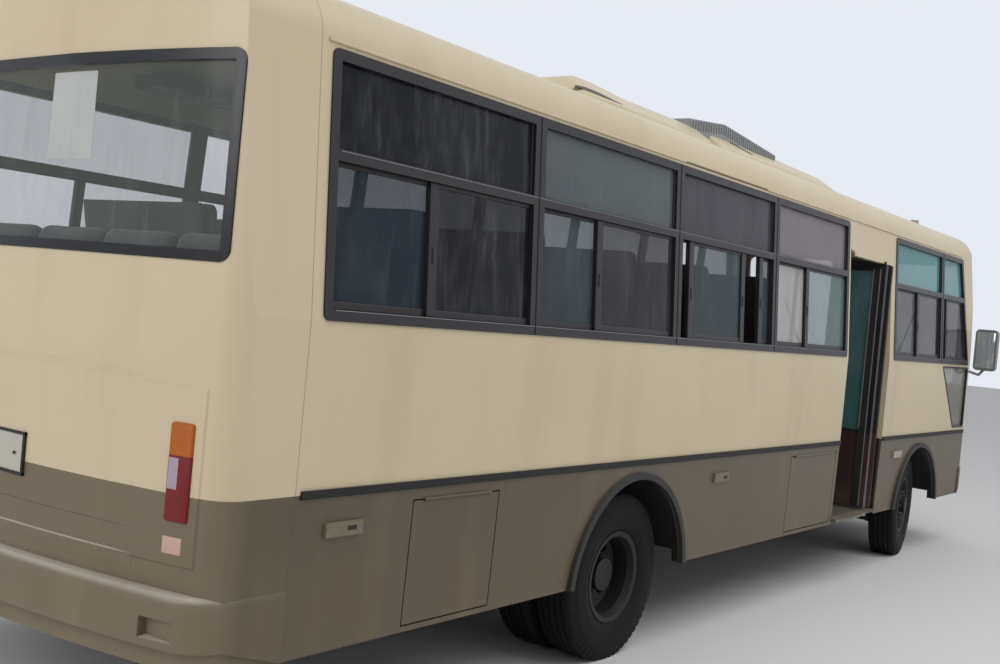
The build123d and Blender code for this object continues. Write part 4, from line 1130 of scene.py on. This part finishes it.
# %% Lines between the units
joint_black = black_with_dust_and_highlight("joint_black", srgb(14, 13, 15), srgb(40, 38, 38), 0.6, 0.0, 0.2)
bare_metal_and_highlight = road_steel("bare_metal_and_highlight", srgb(150, 148, 150), srgb(110, 106, 104), 0.3, 0.7)
for side, sign in SIDES:
    lines, edges = bmesh.new(), bmesh.new()
    for run in UNITS[side]:
        for x in run[1:-1]:
            block(lines, (x - 0.0035, -0.0075, SILL_Z + 0.002),
                  (x + 0.0035, 0.004, BAND_TOP_Z - 0.002), 0.0008)
        # Painted highlight: a thin pale strip along the transom and the sill stands for light on the frame
        # edges.
        for z, short in ((TRANSOM_Z + 0.012, 0.20), (SILL_Z + 0.034, 0.06)):
            block(edges, (run[0] + 0.05, -0.0075, z), (run[-1] - short, 0.002, z + 0.0025), 0.0004)
    onto_wall(lines, sign)
    onto_wall(edges, sign)
    keep(f"unit_joints_{side}", to_mesh(lines, "lines"), joint_black, "body")
    keep(f"frame_edge_highlights_{side}", to_mesh(edges, "edges"), bare_metal_and_highlight, "body")

# %% [markdown]
# ## Drip rail
#
# A thin rail turns rain away above the windows. On the door side a metre of it is gone, and a brownish
# line is left where it was.

# %% Rail and its missing stretch
DRIP_Z = 2.412
DRIP_GAP = (-1.296, -0.311)
DRIP_ENDS = (BAND_REAR_X - 0.02, 3.700)
for side, sign in SIDES:
    bm = bmesh.new()
    runs = [DRIP_ENDS] if side == "left" else [(DRIP_ENDS[0], DRIP_GAP[0]), (DRIP_GAP[1], DRIP_ENDS[1])]
    for rear, front in runs:
        block(bm, (rear, -0.008, DRIP_Z - 0.006), (front, 0.004, DRIP_Z + 0.006), 0.003)
    onto_wall(bm, sign)
    keep(f"drip_rail_{side}", to_mesh(bm, "drip"), cream_paint, "body")
bare_line = road_steel("bare_line", srgb(132, 112, 80), srgb(86, 72, 54), 0.8, 0.0)
bm = bmesh.new()
block(bm, (DRIP_GAP[0], -0.002, DRIP_Z - 0.007), (DRIP_GAP[1], 0.004, DRIP_Z + 0.004), 0.0008)
onto_wall(bm, -1)
keep("bare_rail_line", to_mesh(bm, "line"), bare_line, "body")

# %% [markdown]
# ## Bumpers
#
# Each bumper is one section carried along the body's outline in plan: straight along the side, round
# the corner, then a long shallow bow. The section is set at right angles to that line at every step.
# The lower edge drops towards the side. The rear one has a finger pocket near each end, cut with a
# Boolean modifier.

# %% Sweep the bumpers
BUMPER = {  # end: direction, tip, bow radius, seam to the side panel, length of the dropped end
    "rear": (-1, 4.250, 5.650, 3.791, 0.250),
    "front": (1, 4.250, 7.500, 4.002, 0.095),
}
BUMPER_CORNER = 0.150
BUMPER_SECTION = [  # depth inwards, height: from the ground at the top, from the lower edge below
    (0.075, 0.656), (0.026, 0.656), (0.016, 0.653), (0.008, 0.647), (0.002, 0.636), (0.000, 0.620),
    (0.000, 0.0), (0.012, -0.004), (0.045, -0.004), (0.045, 0.610), (0.075, 0.625)]
SKIRT_LOW, BUMPER_LOW = 0.416, 0.490


def bumper_line(end):
    """Points and outward directions of the outline in plan, from the right side round to the left."""
    sign, tip, bow, seam, _ = BUMPER[end]
    side, r = HALF_WIDTH + 0.001, BUMPER_CORNER
    middle = tip - bow
    reach = math.sqrt((bow - r) ** 2 - (side - r) ** 2)
    corner = (middle + reach, side - r)
    lean = math.atan2(corner[1], reach)
    half = [((seam, side), (0.0, 1.0)), (((seam + corner[0]) / 2, side), (0.0, 1.0))]
    for n in range(17):
        angle = math.pi / 2 - (math.pi / 2 - lean) * n / 16
        out = (math.cos(angle), math.sin(angle))
        half.append(((corner[0] + r * out[0], corner[1] + r * out[1]), out))
    for n in range(1, 21):
        angle = lean * (1 - n / 20)
        out = (math.cos(angle), math.sin(angle))
        half.append(((middle + bow * out[0], bow * out[1]), out))
    both = [((x, -y), (a, -b)) for (x, y), (a, b) in half] + list(reversed(half[:-1]))
    return [((sign * x, y), (sign * a, b)) for (x, y), (a, b) in both]


def bumper_mesh(end):
    """The swept moulding with its dropped ends."""
    seam, run = BUMPER[end][3:]
    bm = bmesh.new()
    rings = []
    for (x, y), (a, b) in bumper_line(end):
        drop = max(0.0, 1 - (abs(x) - seam) / run)
        low = BUMPER_LOW - (BUMPER_LOW - SKIRT_LOW) * drop
        rings.append([bm.verts.new((x - a * d, y - b * d, z if z > 0.1 else low + z))
                      for d, z in BUMPER_SECTION])
    skin(bm, rings)
    return to_mesh(bm, f"{end}_bumper")


def cut_out(mesh, cutters):
    """A mesh less some closed shapes."""
    work = link(bpy.data.objects.new("work", mesh))
    made = []
    for cutter in cutters:
        tool = link(bpy.data.objects.new("tool", cutter))
        change = work.modifiers.new("cut", "BOOLEAN")
        change.operation, change.object, change.solver = "DIFFERENCE", tool, "EXACT"
        made.append(tool)
    result = applied(work)
    for extra in [work, *made]:
        bpy.data.objects.remove(extra)
    return result


def pocket(sign):
    """The wedge cut for one finger pocket, its floor sloping out."""
    bm = bmesh.new()
    near, far = -4.30, -4.148
    ends = sorted((sign * 0.901, sign * 1.028))
    face = [(near, 0.486), (near, 0.578), (far, 0.578), (far, 0.518)]
    skin(bm, [[bm.verts.new((x, y, z)) for x, z in face] for y in ends])
    return to_mesh(bm, "pocket")


mouldings = {"rear": cut_out(bumper_mesh("rear"), [pocket(-1), pocket(1)]), "front": bumper_mesh("front")}
for end, mesh in mouldings.items():
    piece = keep(f"{end}_bumper_moulding", mesh, taupe_paint, "body", smooth=True)
    sharpen(piece, 32)
    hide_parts(f"{end}_bumper")
print("bumpers: swept sections", len(BUMPER_SECTION), "points each")

# %% [markdown]
# ## Roof unit
#
# A long low cowl sits on the roof: flanks that draw in as they rise, sloping ends, a bolted flange, and
# a ribbed housing on its front half. Each half is lofted from one section at every change of height.

# %% Loft the roof unit
ROOF_Z = 2.672
PODS = {
    "rear": [(-1.905, 0), (-1.690, 0.096), (-1.540, 0.134), (-1.380, 0.138), (-1.130, 0.100), (-0.330, 0.100),
             (-0.250, 0)],
    "front": [(-0.236, 0), (-0.150, 0.096), (0.560, 0.112), (1.560, 0.084), (2.350, 0)],
}
POD_FOOT, POD_TOP = 0.725, 0.500


def flank_y(z):
    """Half width of the cowl at a height on its flank."""
    return POD_FOOT - 0.020 - (POD_FOOT - 0.020 - POD_TOP) * (z - ROOF_Z - 0.010) / 0.140


def pod_section(x, rise):
    """Six points across the cowl at one place along it."""
    base = ROOF_Z - 0.100
    knee, top, top_y = ROOF_Z + 0.010, ROOF_Z + rise, flank_y(ROOF_Z + rise)
    if rise == 0:
        knee, top, top_y = base + 0.004, base + 0.008, POD_FOOT - 0.03
    right = [(POD_FOOT, base), (POD_FOOT - 0.020, knee), (top_y, top)]
    return [(x, y, z) for y, z in right] + [(x, -y, z) for y, z in reversed(right)]


def pod_mesh(points):
    """A cowl lofted through its sections, with its edges rounded."""
    bm = bmesh.new()
    skin(bm, [[bm.verts.new(co) for co in pod_section(x, rise)] for x, rise in points])
    edges = [e for e in bm.edges if e.verts[0].co.z > ROOF_Z and e.verts[1].co.z > ROOF_Z - 0.2]
    bmesh.ops.bevel(bm, geom=edges, offset=0.018, segments=3, affect="EDGES", profile=0.5)
    return to_mesh(bm, "pod")


for name, points in PODS.items():
    bm = bmesh.new()
    bm.from_mesh(pod_mesh(points))
    block(bm, (points[0][0] + 0.06, -0.742, ROOF_Z - 0.09), (points[-2][0], 0.742, ROOF_Z - 0.030), 0.004)
    piece = keep(f"roof_cowl_{name}", to_mesh(bm, "cowl"), cream_paint, "body", smooth=True)
    sharpen(piece, 30)
    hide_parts(f"roof_pod_{name}")

# %% [markdown]
# ## Ribs and bolts on the roof unit
#
# The housing has two rows of upright ribs on each flank, which a Geometry Nodes line repeats. A thin patch
# of painted shade stands for the mouth that opens in each rear flank. The flange is held by bolts at uneven
# steps. One dark slot runs slantwise on the door side.

# %% Vent housing
VENT_HALF = 0.600
VENT = [(-0.430, 0.050), (-0.426, 0.130), (0.023, 0.175), (0.795, 0.118), (0.800, 0.050)]
vent_paint = worn_sheet("vent_grey", srgb(156, 160, 166), srgb(124, 124, 122), 0.45)
bm = bmesh.new()
skin(bm, [[bm.verts.new((x, y, ROOF_Z + z)) for x, z in VENT] for y in (-VENT_HALF, VENT_HALF)])
bmesh.ops.bevel(bm, geom=list(bm.edges), offset=0.006, segments=2, affect="EDGES", profile=0.5)
keep("vent_housing", to_mesh(bm, "vent"), vent_paint, "body")
RIB_SIZE = (0.012, 0.008, 0.052)
RIB_RUNS = [((-0.410, 0.128), (0.023, 0.172), 14), ((0.050, 0.170), (0.785, 0.115), 24)]
ribs = []
for sign in (-1, 1):
    for (x0, top0), (x1, top1), count in RIB_RUNS:
        place = MOVE((x0, sign * (VENT_HALF + 0.002), ROOF_Z + top0 - 0.030))
        step = ((x1 - x0) / (count - 1), 0.0, (top1 - top0) / (count - 1))
        ribs.append(nuts("ribs", vent_paint, place, Count=count, Step=step, **{"Rib Size": RIB_SIZE}))
keep("vent_ribs", join(ribs, "vent_ribs"), vent_paint, "body")

# %% Painted shade of the arched mouth in the rear flank
# Painted shade: both colours of the mouth patch are shade, mottled by the same noise as a worn sheet.
mouth_shade = worn_sheet("mouth_shade", srgb(96, 82, 60), srgb(60, 52, 40), 0.6)
MOUTH = [(-1.758, 2.699, 2.701), (-1.700, 2.700, 2.718), (-1.600, 2.701, 2.731), (-1.500, 2.701, 2.731),
         (-1.400, 2.701, 2.718), (-1.300, 2.701, 2.703)]
for side, sign in SIDES:
    bm = bmesh.new()
    skin(bm, [[bm.verts.new((x, sign * (flank_y(z) + out), z)) for z, out in
               ((low, 0.002), (high, 0.002), (high, -0.004), (low, -0.004))] for x, low, high in MOUTH])
    keep(f"cowl_mouth_shade_{side}", to_mesh(bm, "mouth"), mouth_shade, "body")

# %% Flange bolts and the slot
BOLTS_X = (-1.780, -1.116, -0.583, -0.091, 0.420, 0.960, 1.510)
bolts = [one_bolt(bare_metal_and_highlight, (0, sign * 0.5, 1), (x, sign * 0.722, ROOF_Z - 0.024), 6, 0.009, 0.012)
         for x in BOLTS_X for sign in (-1, 1)]
keep("flange_bolts", join(bolts, "flange_bolts"), bare_metal_and_highlight, "body")
bm = bmesh.new()
places = [(x, -flank_y(z) - 0.0005, z) for x, z in ((-0.133, 2.762), (0.072, 2.763), (0.314, 2.711))]
strip(bm, places, (0.0, 0.003, 0.004), (0.0, -0.002, 0.001))
keep("cowl_slot", to_mesh(bm, "slot"), joint_black, "body")
print("roof unit: cowls, ribs and bolts")

# %% [markdown]
# ## Rear wall
#
# The tail lamps and the plain plate all follow the bowed rear wall. The lamps stand on a thin grey base.
# The plate is blank, held by two screws.

# %% Lamps, bases and the plate
REAR_TIP_X, REAR_BOW = -4.200, 5.650


def wall_line(y):
    """The bowed rear wall in plan."""
    return REAR_TIP_X + REAR_BOW - math.sqrt(REAR_BOW ** 2 - y ** 2)


def rear_slab(bm, ys, zs, back, front, bevel=0.004, steps=6):
    """A slab on the rear wall between two depths, bent with the wall."""
    rows = []
    for n in range(steps + 1):
        y = ys[0] + (ys[1] - ys[0]) * n / steps
        x = wall_line(y)
        rows.append([bm.verts.new((x + depth, y, z)) for depth, z in
                     ((back, zs[0]), (back, zs[1]), (-front, zs[1]), (-front, zs[0]))])
    faces = skin(bm, rows)
    if bevel:
        bmesh.ops.recalc_face_normals(bm, faces=faces)
        edges = [e for e in {e for f in faces for e in f.edges} if e.calc_face_angle(0.0) > 0.7]
        bmesh.ops.bevel(bm, geom=edges, offset=bevel, segments=2, affect="EDGES", profile=0.5)


REAR_LAMPS = [  # middle, heights, half width, how far it stands out
    (0.968, (0.867, 1.170), 0.044, 0.016), (0.958, (0.768, 0.821), 0.037, 0.007)]
lamp_bm, bezel_bm = bmesh.new(), bmesh.new()
for sign in (-1, 1):
    for middle, (low, high), half, proud in REAR_LAMPS:
        ys = sorted((sign * middle - half, sign * middle + half))
        rear_slab(lamp_bm, ys, (low, high), 0.010, proud, 0.009 if high > 1.0 else 0.003)
        if high > 1.0:
            rear_slab(bezel_bm, (ys[0] - 0.004, ys[1] + 0.004), (low - 0.004, high + 0.004),
                      0.004, 0.004, 0.0015)
lenses = keep("tail_lamp_lenses", to_mesh(lamp_bm, "lenses"), NODES["tail_lamps"].data.materials[0],
              "body", smooth=True)
sharpen(lenses, 35)
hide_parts("tail_lamps")
bezel_grey = worn_sheet("bezel_grey", srgb(120, 116, 108), srgb(86, 80, 72), 0.4)
keep("lamp_bezels", to_mesh(bezel_bm, "bezels"), bezel_grey, "body")

PLATE_HALF, PLATE_Z = 0.257, (0.910, 1.037)
RIM_HALF, RIM_Z = 0.267, (0.901, 1.046)
plate_finish = worn_sheet("blank_plate", srgb(204, 202, 190), srgb(160, 154, 140), 0.4)
plate_frame = black_with_dust_and_highlight("plate_frame", srgb(30, 29, 30), srgb(90, 84, 76), 0.5, 0.0, 0.3)
bm = bmesh.new()
rear_slab(bm, (-PLATE_HALF, PLATE_HALF), PLATE_Z, 0.002, 0.010, 0.003, 1)
keep("blank_plate", to_mesh(bm, "plate"), plate_finish, "body")
bm = bmesh.new()
for ys, zs in (((-RIM_HALF, RIM_HALF), (PLATE_Z[1], RIM_Z[1])),
               ((-RIM_HALF, RIM_HALF), (RIM_Z[0], PLATE_Z[0])),
               ((-RIM_HALF, -PLATE_HALF), RIM_Z), ((PLATE_HALF, RIM_HALF), RIM_Z)):
    rear_slab(bm, ys, zs, 0.002, 0.014, 0.0, 1)
keep("plate_surround", to_mesh(bm, "surround"), plate_frame, "body")
screws = [one_bolt(nut_steel, (-1, 0, 0), (wall_line(0.2) - 0.012, y, 0.973), 10, 0.006, 0.004)
          for y in (-0.215, 0.215)]
keep("plate_screws", join(screws, "plate_screws"), nut_steel, "body")

# %% [markdown]
# ## Pressings of the rear wall
#
# The lamps stand on shallow raised plates, and three low steps cross the wall below and above the number
# plate. Each stands out by a few millimetres with soft edges.

# %% Raised plates
def pressing(bm, ys, zs, edges, proud, fade, steps=20):
    """A raised plate on the rear wall: sloped lower and upper edges, and sides that fade out."""
    middle = [ys[0] + fade + (ys[1] - ys[0] - 2 * fade) * n / steps for n in range(steps + 1)]
    rows = []
    for y in [ys[0]] + middle + [ys[1]]:
        out = proud if ys[0] < y < ys[1] else 0.0002
        x = wall_line(y)
        section = [(0.003, zs[0]), (-0.0002, zs[0]), (-out, zs[0] + edges[0]),
                   (-out, zs[1] - edges[1]), (-0.0002, zs[1]), (0.003, zs[1])]
        rows.append([bm.verts.new((x + depth, y, z)) for depth, z in section])
    skin(bm, rows)


PRESSINGS = [  # sides, heights, run of the lower and upper edge, height, run of the sides
    ((-0.800, 0.800), (0.822, 1.120), (0.004, 0.090), 0.005, 0.110),
    ((-0.800, 0.800), (0.690, 0.745), (0.040, 0.004), 0.006, 0.110),
    ((-0.830, 0.830), (1.286, 1.560), (0.030, 0.200), 0.007, 0.160),
    ((0.790, 1.046), (0.733, 1.280), (0.004, 0.004), 0.005, 0.004),
    ((-1.046, -0.790), (0.733, 1.280), (0.004, 0.004), 0.005, 0.004)]
bm = bmesh.new()
for sizes in PRESSINGS:
    pressing(bm, *sizes)
keep("rear_pressings", to_mesh(bm, "pressings"), two_tone, "body")

# %% [markdown]
# ## Inside the rear glass
#
# Through the rear window one sees a white sheet taped to the glass and dark vents in the ceiling.

# %% Paper and ceiling vents
SHEET_Y, SHEET_WIDE, SHEET_Z = -0.432, 0.228, (1.962, 2.250)
paper = worn_sheet("paper", srgb(226, 226, 224), srgb(206, 206, 202), 0.7)
bm = bmesh.new()
rows = []
for n in range(7):
    y = SHEET_Y + SHEET_WIDE * n / 6
    low, high = [touch("end_windows", (-5.0, y, z), (1, 0, 0)) for z in SHEET_Z]
    rows.append([bm.verts.new(spot + V((gap, 0, 0))) for spot, gap in
                 ((low, 0.009), (low, 0.0095), (high, 0.0095), (high, 0.009))])
skin(bm, rows)
keep("taped_sheet", to_mesh(bm, "sheet"), paper, "body")
VENTS_X, VENT_LONG = (-2.90, -2.45, -1.40, -0.95, 0.10, 0.55), 0.30
VENT_Y, VENT_Z = (0.74, 0.94), (2.480, 2.545)
bm = bmesh.new()
for sign in (-1, 1):
    for x in VENTS_X:
        ys = sorted(sign * y for y in VENT_Y)
        block(bm, (x - VENT_LONG / 2, ys[0], VENT_Z[0]), (x + VENT_LONG / 2, ys[1], VENT_Z[1]), 0.012)
keep("ceiling_vents", to_mesh(bm, "vents"), black_plastic, "body")

# %% [markdown]
# ## Tail pipe and hand poles
#
# The tail pipe climbs over the rear axle and turns out to the left side behind it. A curve carries it: the
# points are its bends, and a round bevel makes the tube. The two hand poles by the door are straight.

# %% Tubes on curves
def tube(name, points, radius, material):
    """A round tube along a smooth curve, closed at its ends."""
    data = bpy.data.curves.new(name, "CURVE")
    data.dimensions, data.bevel_depth, data.bevel_resolution, data.use_fill_caps = "3D", radius, 4, True
    spline = data.splines.new("NURBS")
    spline.points.add(len(points) - 1)
    for spot, co in zip(spline.points, points):
        spot.co = (*co, 1.0)
    spline.use_endpoint_u = True
    spline.order_u = 3
    spline.resolution_u = 8
    holder = link(bpy.data.objects.new(name, data))
    bm = bmesh.new()
    bm.from_mesh(applied(holder))
    bpy.data.objects.remove(holder)
    keep(name, to_mesh(bm, name), material, "body", smooth=True)


pipe_rust = road_steel("pipe_rust", srgb(74, 58, 46), srgb(110, 78, 54), 0.9, 0.2)
PIPE_BENDS = [(0.20, 0.620, 0.500), (-0.90, 0.620, 0.500), (-1.20, 0.600, 0.600), (-1.90, 0.600, 0.600),
              (-2.20, 0.660, 0.520), (-2.45, 0.860, 0.440), (-2.46, 1.060, 0.425)]
PIPE_RADIUS, POLE_RADIUS = 0.030, 0.016
POLES, POLE_Z = ((1.030, -0.380), (1.975, -0.350)), (0.95, 1.80, 2.58)
tube("tail_pipe", PIPE_BENDS, PIPE_RADIUS, pipe_rust)
for n, (x, y) in enumerate(POLES):
    tube(f"hand_pole_{n}", [(x, y, z) for z in POLE_Z], POLE_RADIUS, pole_steel)

# %% [markdown]
# ## Front and mirrors
#
# The front carries a slotted grille, two wipers and a bright ring round each head lamp. The mirror heads
# get bulging glass on the side that faces back.

# %% Grille, rings, wipers and mirror glass
chrome = road_steel("lamp_ring", srgb(190, 190, 188), srgb(140, 134, 124), 0.25, 0.9)


def grille_rows(first_z, half, across, out):
    """Five level bars on the bowed front, 40 mm apart."""
    bm = bmesh.new()
    for n in range(5):
        z = first_z + 0.040 * n
        ys = [half * k / 2 for k in (-2, -1, 0, 1, 2)]
        strip(bm, [(touch("front_cap", (5.0, y, z), (-1, 0, 0)).x - 0.001, y, z) for y in ys], across, out)
    return to_mesh(bm, "grille")


keep("grille_slots", grille_rows(0.710, 0.55, (0, 0, 0.010), (0.003, 0, 0)), joint_black, "body")
keep("grille_bars", grille_rows(0.724, 0.57, (0, 0, 0.004), (0.009, 0, 0)), taupe_paint, "body")
HEAD_LAMP_Y, HEAD_LAMP_Z = 0.800, 0.860
RING = [(0.092, -0.010), (0.094, 0.004), (0.101, 0.006), (0.107, 0.001), (0.108, -0.012)]
bm = bmesh.new()
for sign in (-1, 1):
    middle = touch("head_lamps", (5.0, sign * HEAD_LAMP_Y, HEAD_LAMP_Z), (-1, 0, 0))
    lathe(bm, RING, (middle.x - 0.004, sign * HEAD_LAMP_Y, HEAD_LAMP_Z), (1, sign * 0.11, 0), 48)
keep("lamp_rings", to_mesh(bm, "rings"), chrome, "body", smooth=True)
mirror_face = Finish("mirror_face")
mirror_face = mirror_face.done(Base_Color=srgb(180, 186, 190), Metallic=0.35,
                               Roughness=mirror_face.noise(12.0) * 0.03 + 0.01)
MIRROR_STEPS = 12
MIRROR_Y, MIRROR_Z = 1.240, 1.655
bm = bmesh.new()
for sign in (-1, 1):
    face = touch("mirrors", (3.5, sign * MIRROR_Y, 1.65), (1, 0, 0))
    spots = [2 * n / MIRROR_STEPS - 1 for n in range(MIRROR_STEPS + 1)]
    rows = [[bm.verts.new((face.x - 0.010 + 0.004 * u * u + 0.005 * v * v, sign * MIRROR_Y + 0.072 * u,
                           MIRROR_Z + 0.152 * v)) for v in spots] for u in spots]
    for first, second in zip(rows, rows[1:]):
        for m in range(MIRROR_STEPS):
            bm.faces.new((first[m], first[m + 1], second[m + 1], second[m]))
    rim = rows[0] + [row[-1] for row in rows[1:]] + rows[-1][-2::-1] + [row[0] for row in rows[-2:0:-1]]
    back = [bm.verts.new((face.x + 0.002, vert.co.y, vert.co.z)) for vert in rim]
    for n in range(len(rim)):
        m = (n + 1) % len(rim)
        bm.faces.new((rim[n], back[n], back[m], rim[m]))
    bm.faces.new(back)
keep("mirror_glass", to_mesh(bm, "glass"), mirror_face, "body")


def screen_spot(y, z):
    """Where the windscreen or its seal is, in front view."""
    hits = [touch(node, (6.0, y, z), (-1, 0, 0)) for node in ("end_windows", "window_seals", "front_cap")]
    return max((hit for hit in hits if hit.x < 5.0), key=lambda hit: hit.x)


WIPER_PARTS = [  # points, stand-off, half width, height: the arm, then the blade
    (((0.30, 1.312), (0.42, 1.50), (0.52, 1.70)), 0.022, (0, 0.006, -0.004), (0.008, 0, 0)),
    (((0.42, 1.42), (0.52, 1.70), (0.62, 1.98)), 0.004, (0, 0.005, -0.002), (0.016, 0, 0))]
bm = bmesh.new()
for sign in (-1, 1):
    for points, gap, across, out in WIPER_PARTS:
        strip(bm, [screen_spot(sign * y, z) + V((gap, 0, 0)) for y, z in points], across, out)
keep("wipers", to_mesh(bm, "wipers"), black_plastic, "body")

# %% [markdown]
# ## Doorway
#
# Two thin aluminium strips hold the rubber along the edge of the folded leaves. A dark cover over the
# doorway hides the door gear, and the step has a worn edge that bows out past the sill.

# %% Strips, gear cover and step edge
strip_metal = road_steel("strip_metal", srgb(150, 150, 152), srgb(110, 106, 102), 0.4, 0.5)
bm = bmesh.new()
DOORWAY_X = (1.070, 1.876)
LEAF_FACE_X = touch("door_leaf_rear", (1.30, -1.03, 0.80), (1, 0, 0)).x
for y, low_z in ((-1.012, 1.02), (-1.062, 0.47)):
    block(bm, (LEAF_FACE_X - 0.007, y - 0.004, low_z), (LEAF_FACE_X - 0.003, y + 0.004, 2.140), 0.001)
keep("leaf_strips", to_mesh(bm, "strips"), strip_metal, "door_rear")
bm = bmesh.new()
block(bm, (LEAF_FACE_X - 0.004, -1.078, 0.460), (LEAF_FACE_X + 0.001, -1.008, 2.150), 0.001)
low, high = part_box("door_leaf_rear")
block(bm, (LEAF_FACE_X - 0.003, low[1] + 0.010, high[2] - 0.010),
      (LEAF_FACE_X + 0.018, high[1] - 0.010, high[2] + 0.022), 0.002)
keep("leaf_rubber", to_mesh(bm, "rubber"), arch_rubber, "door_rear")
bm = bmesh.new()
block(bm, (DOORWAY_X[0], -1.020, 2.186), (DOORWAY_X[1], -0.900, 2.345), 0.012)
keep("door_gear_cover", to_mesh(bm, "cover"), black_plastic, "body")
STEP_BOW = [(DOORWAY_X[0], -1.150), (1.170, -1.168), (1.300, -1.172), (1.450, -1.164), (1.650, -1.142),
            (DOORWAY_X[1], -1.108)]
step_worn = worn_sheet("step_worn", srgb(132, 122, 108), srgb(96, 86, 72), 0.45)
bm = bmesh.new()
skin(bm, [[bm.verts.new((x, y, z)) for y, z in ((-1.085, 0.430), (bow, 0.432), (bow, 0.448), (-1.085, 0.450))]
          for x, bow in STEP_BOW])
keep("step_edge", to_mesh(bm, "edge"), step_worn, "body")

# %% Finish
low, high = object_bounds()
print("visual size:", [round(float(b - a), 3) for a, b in zip(low, high)])
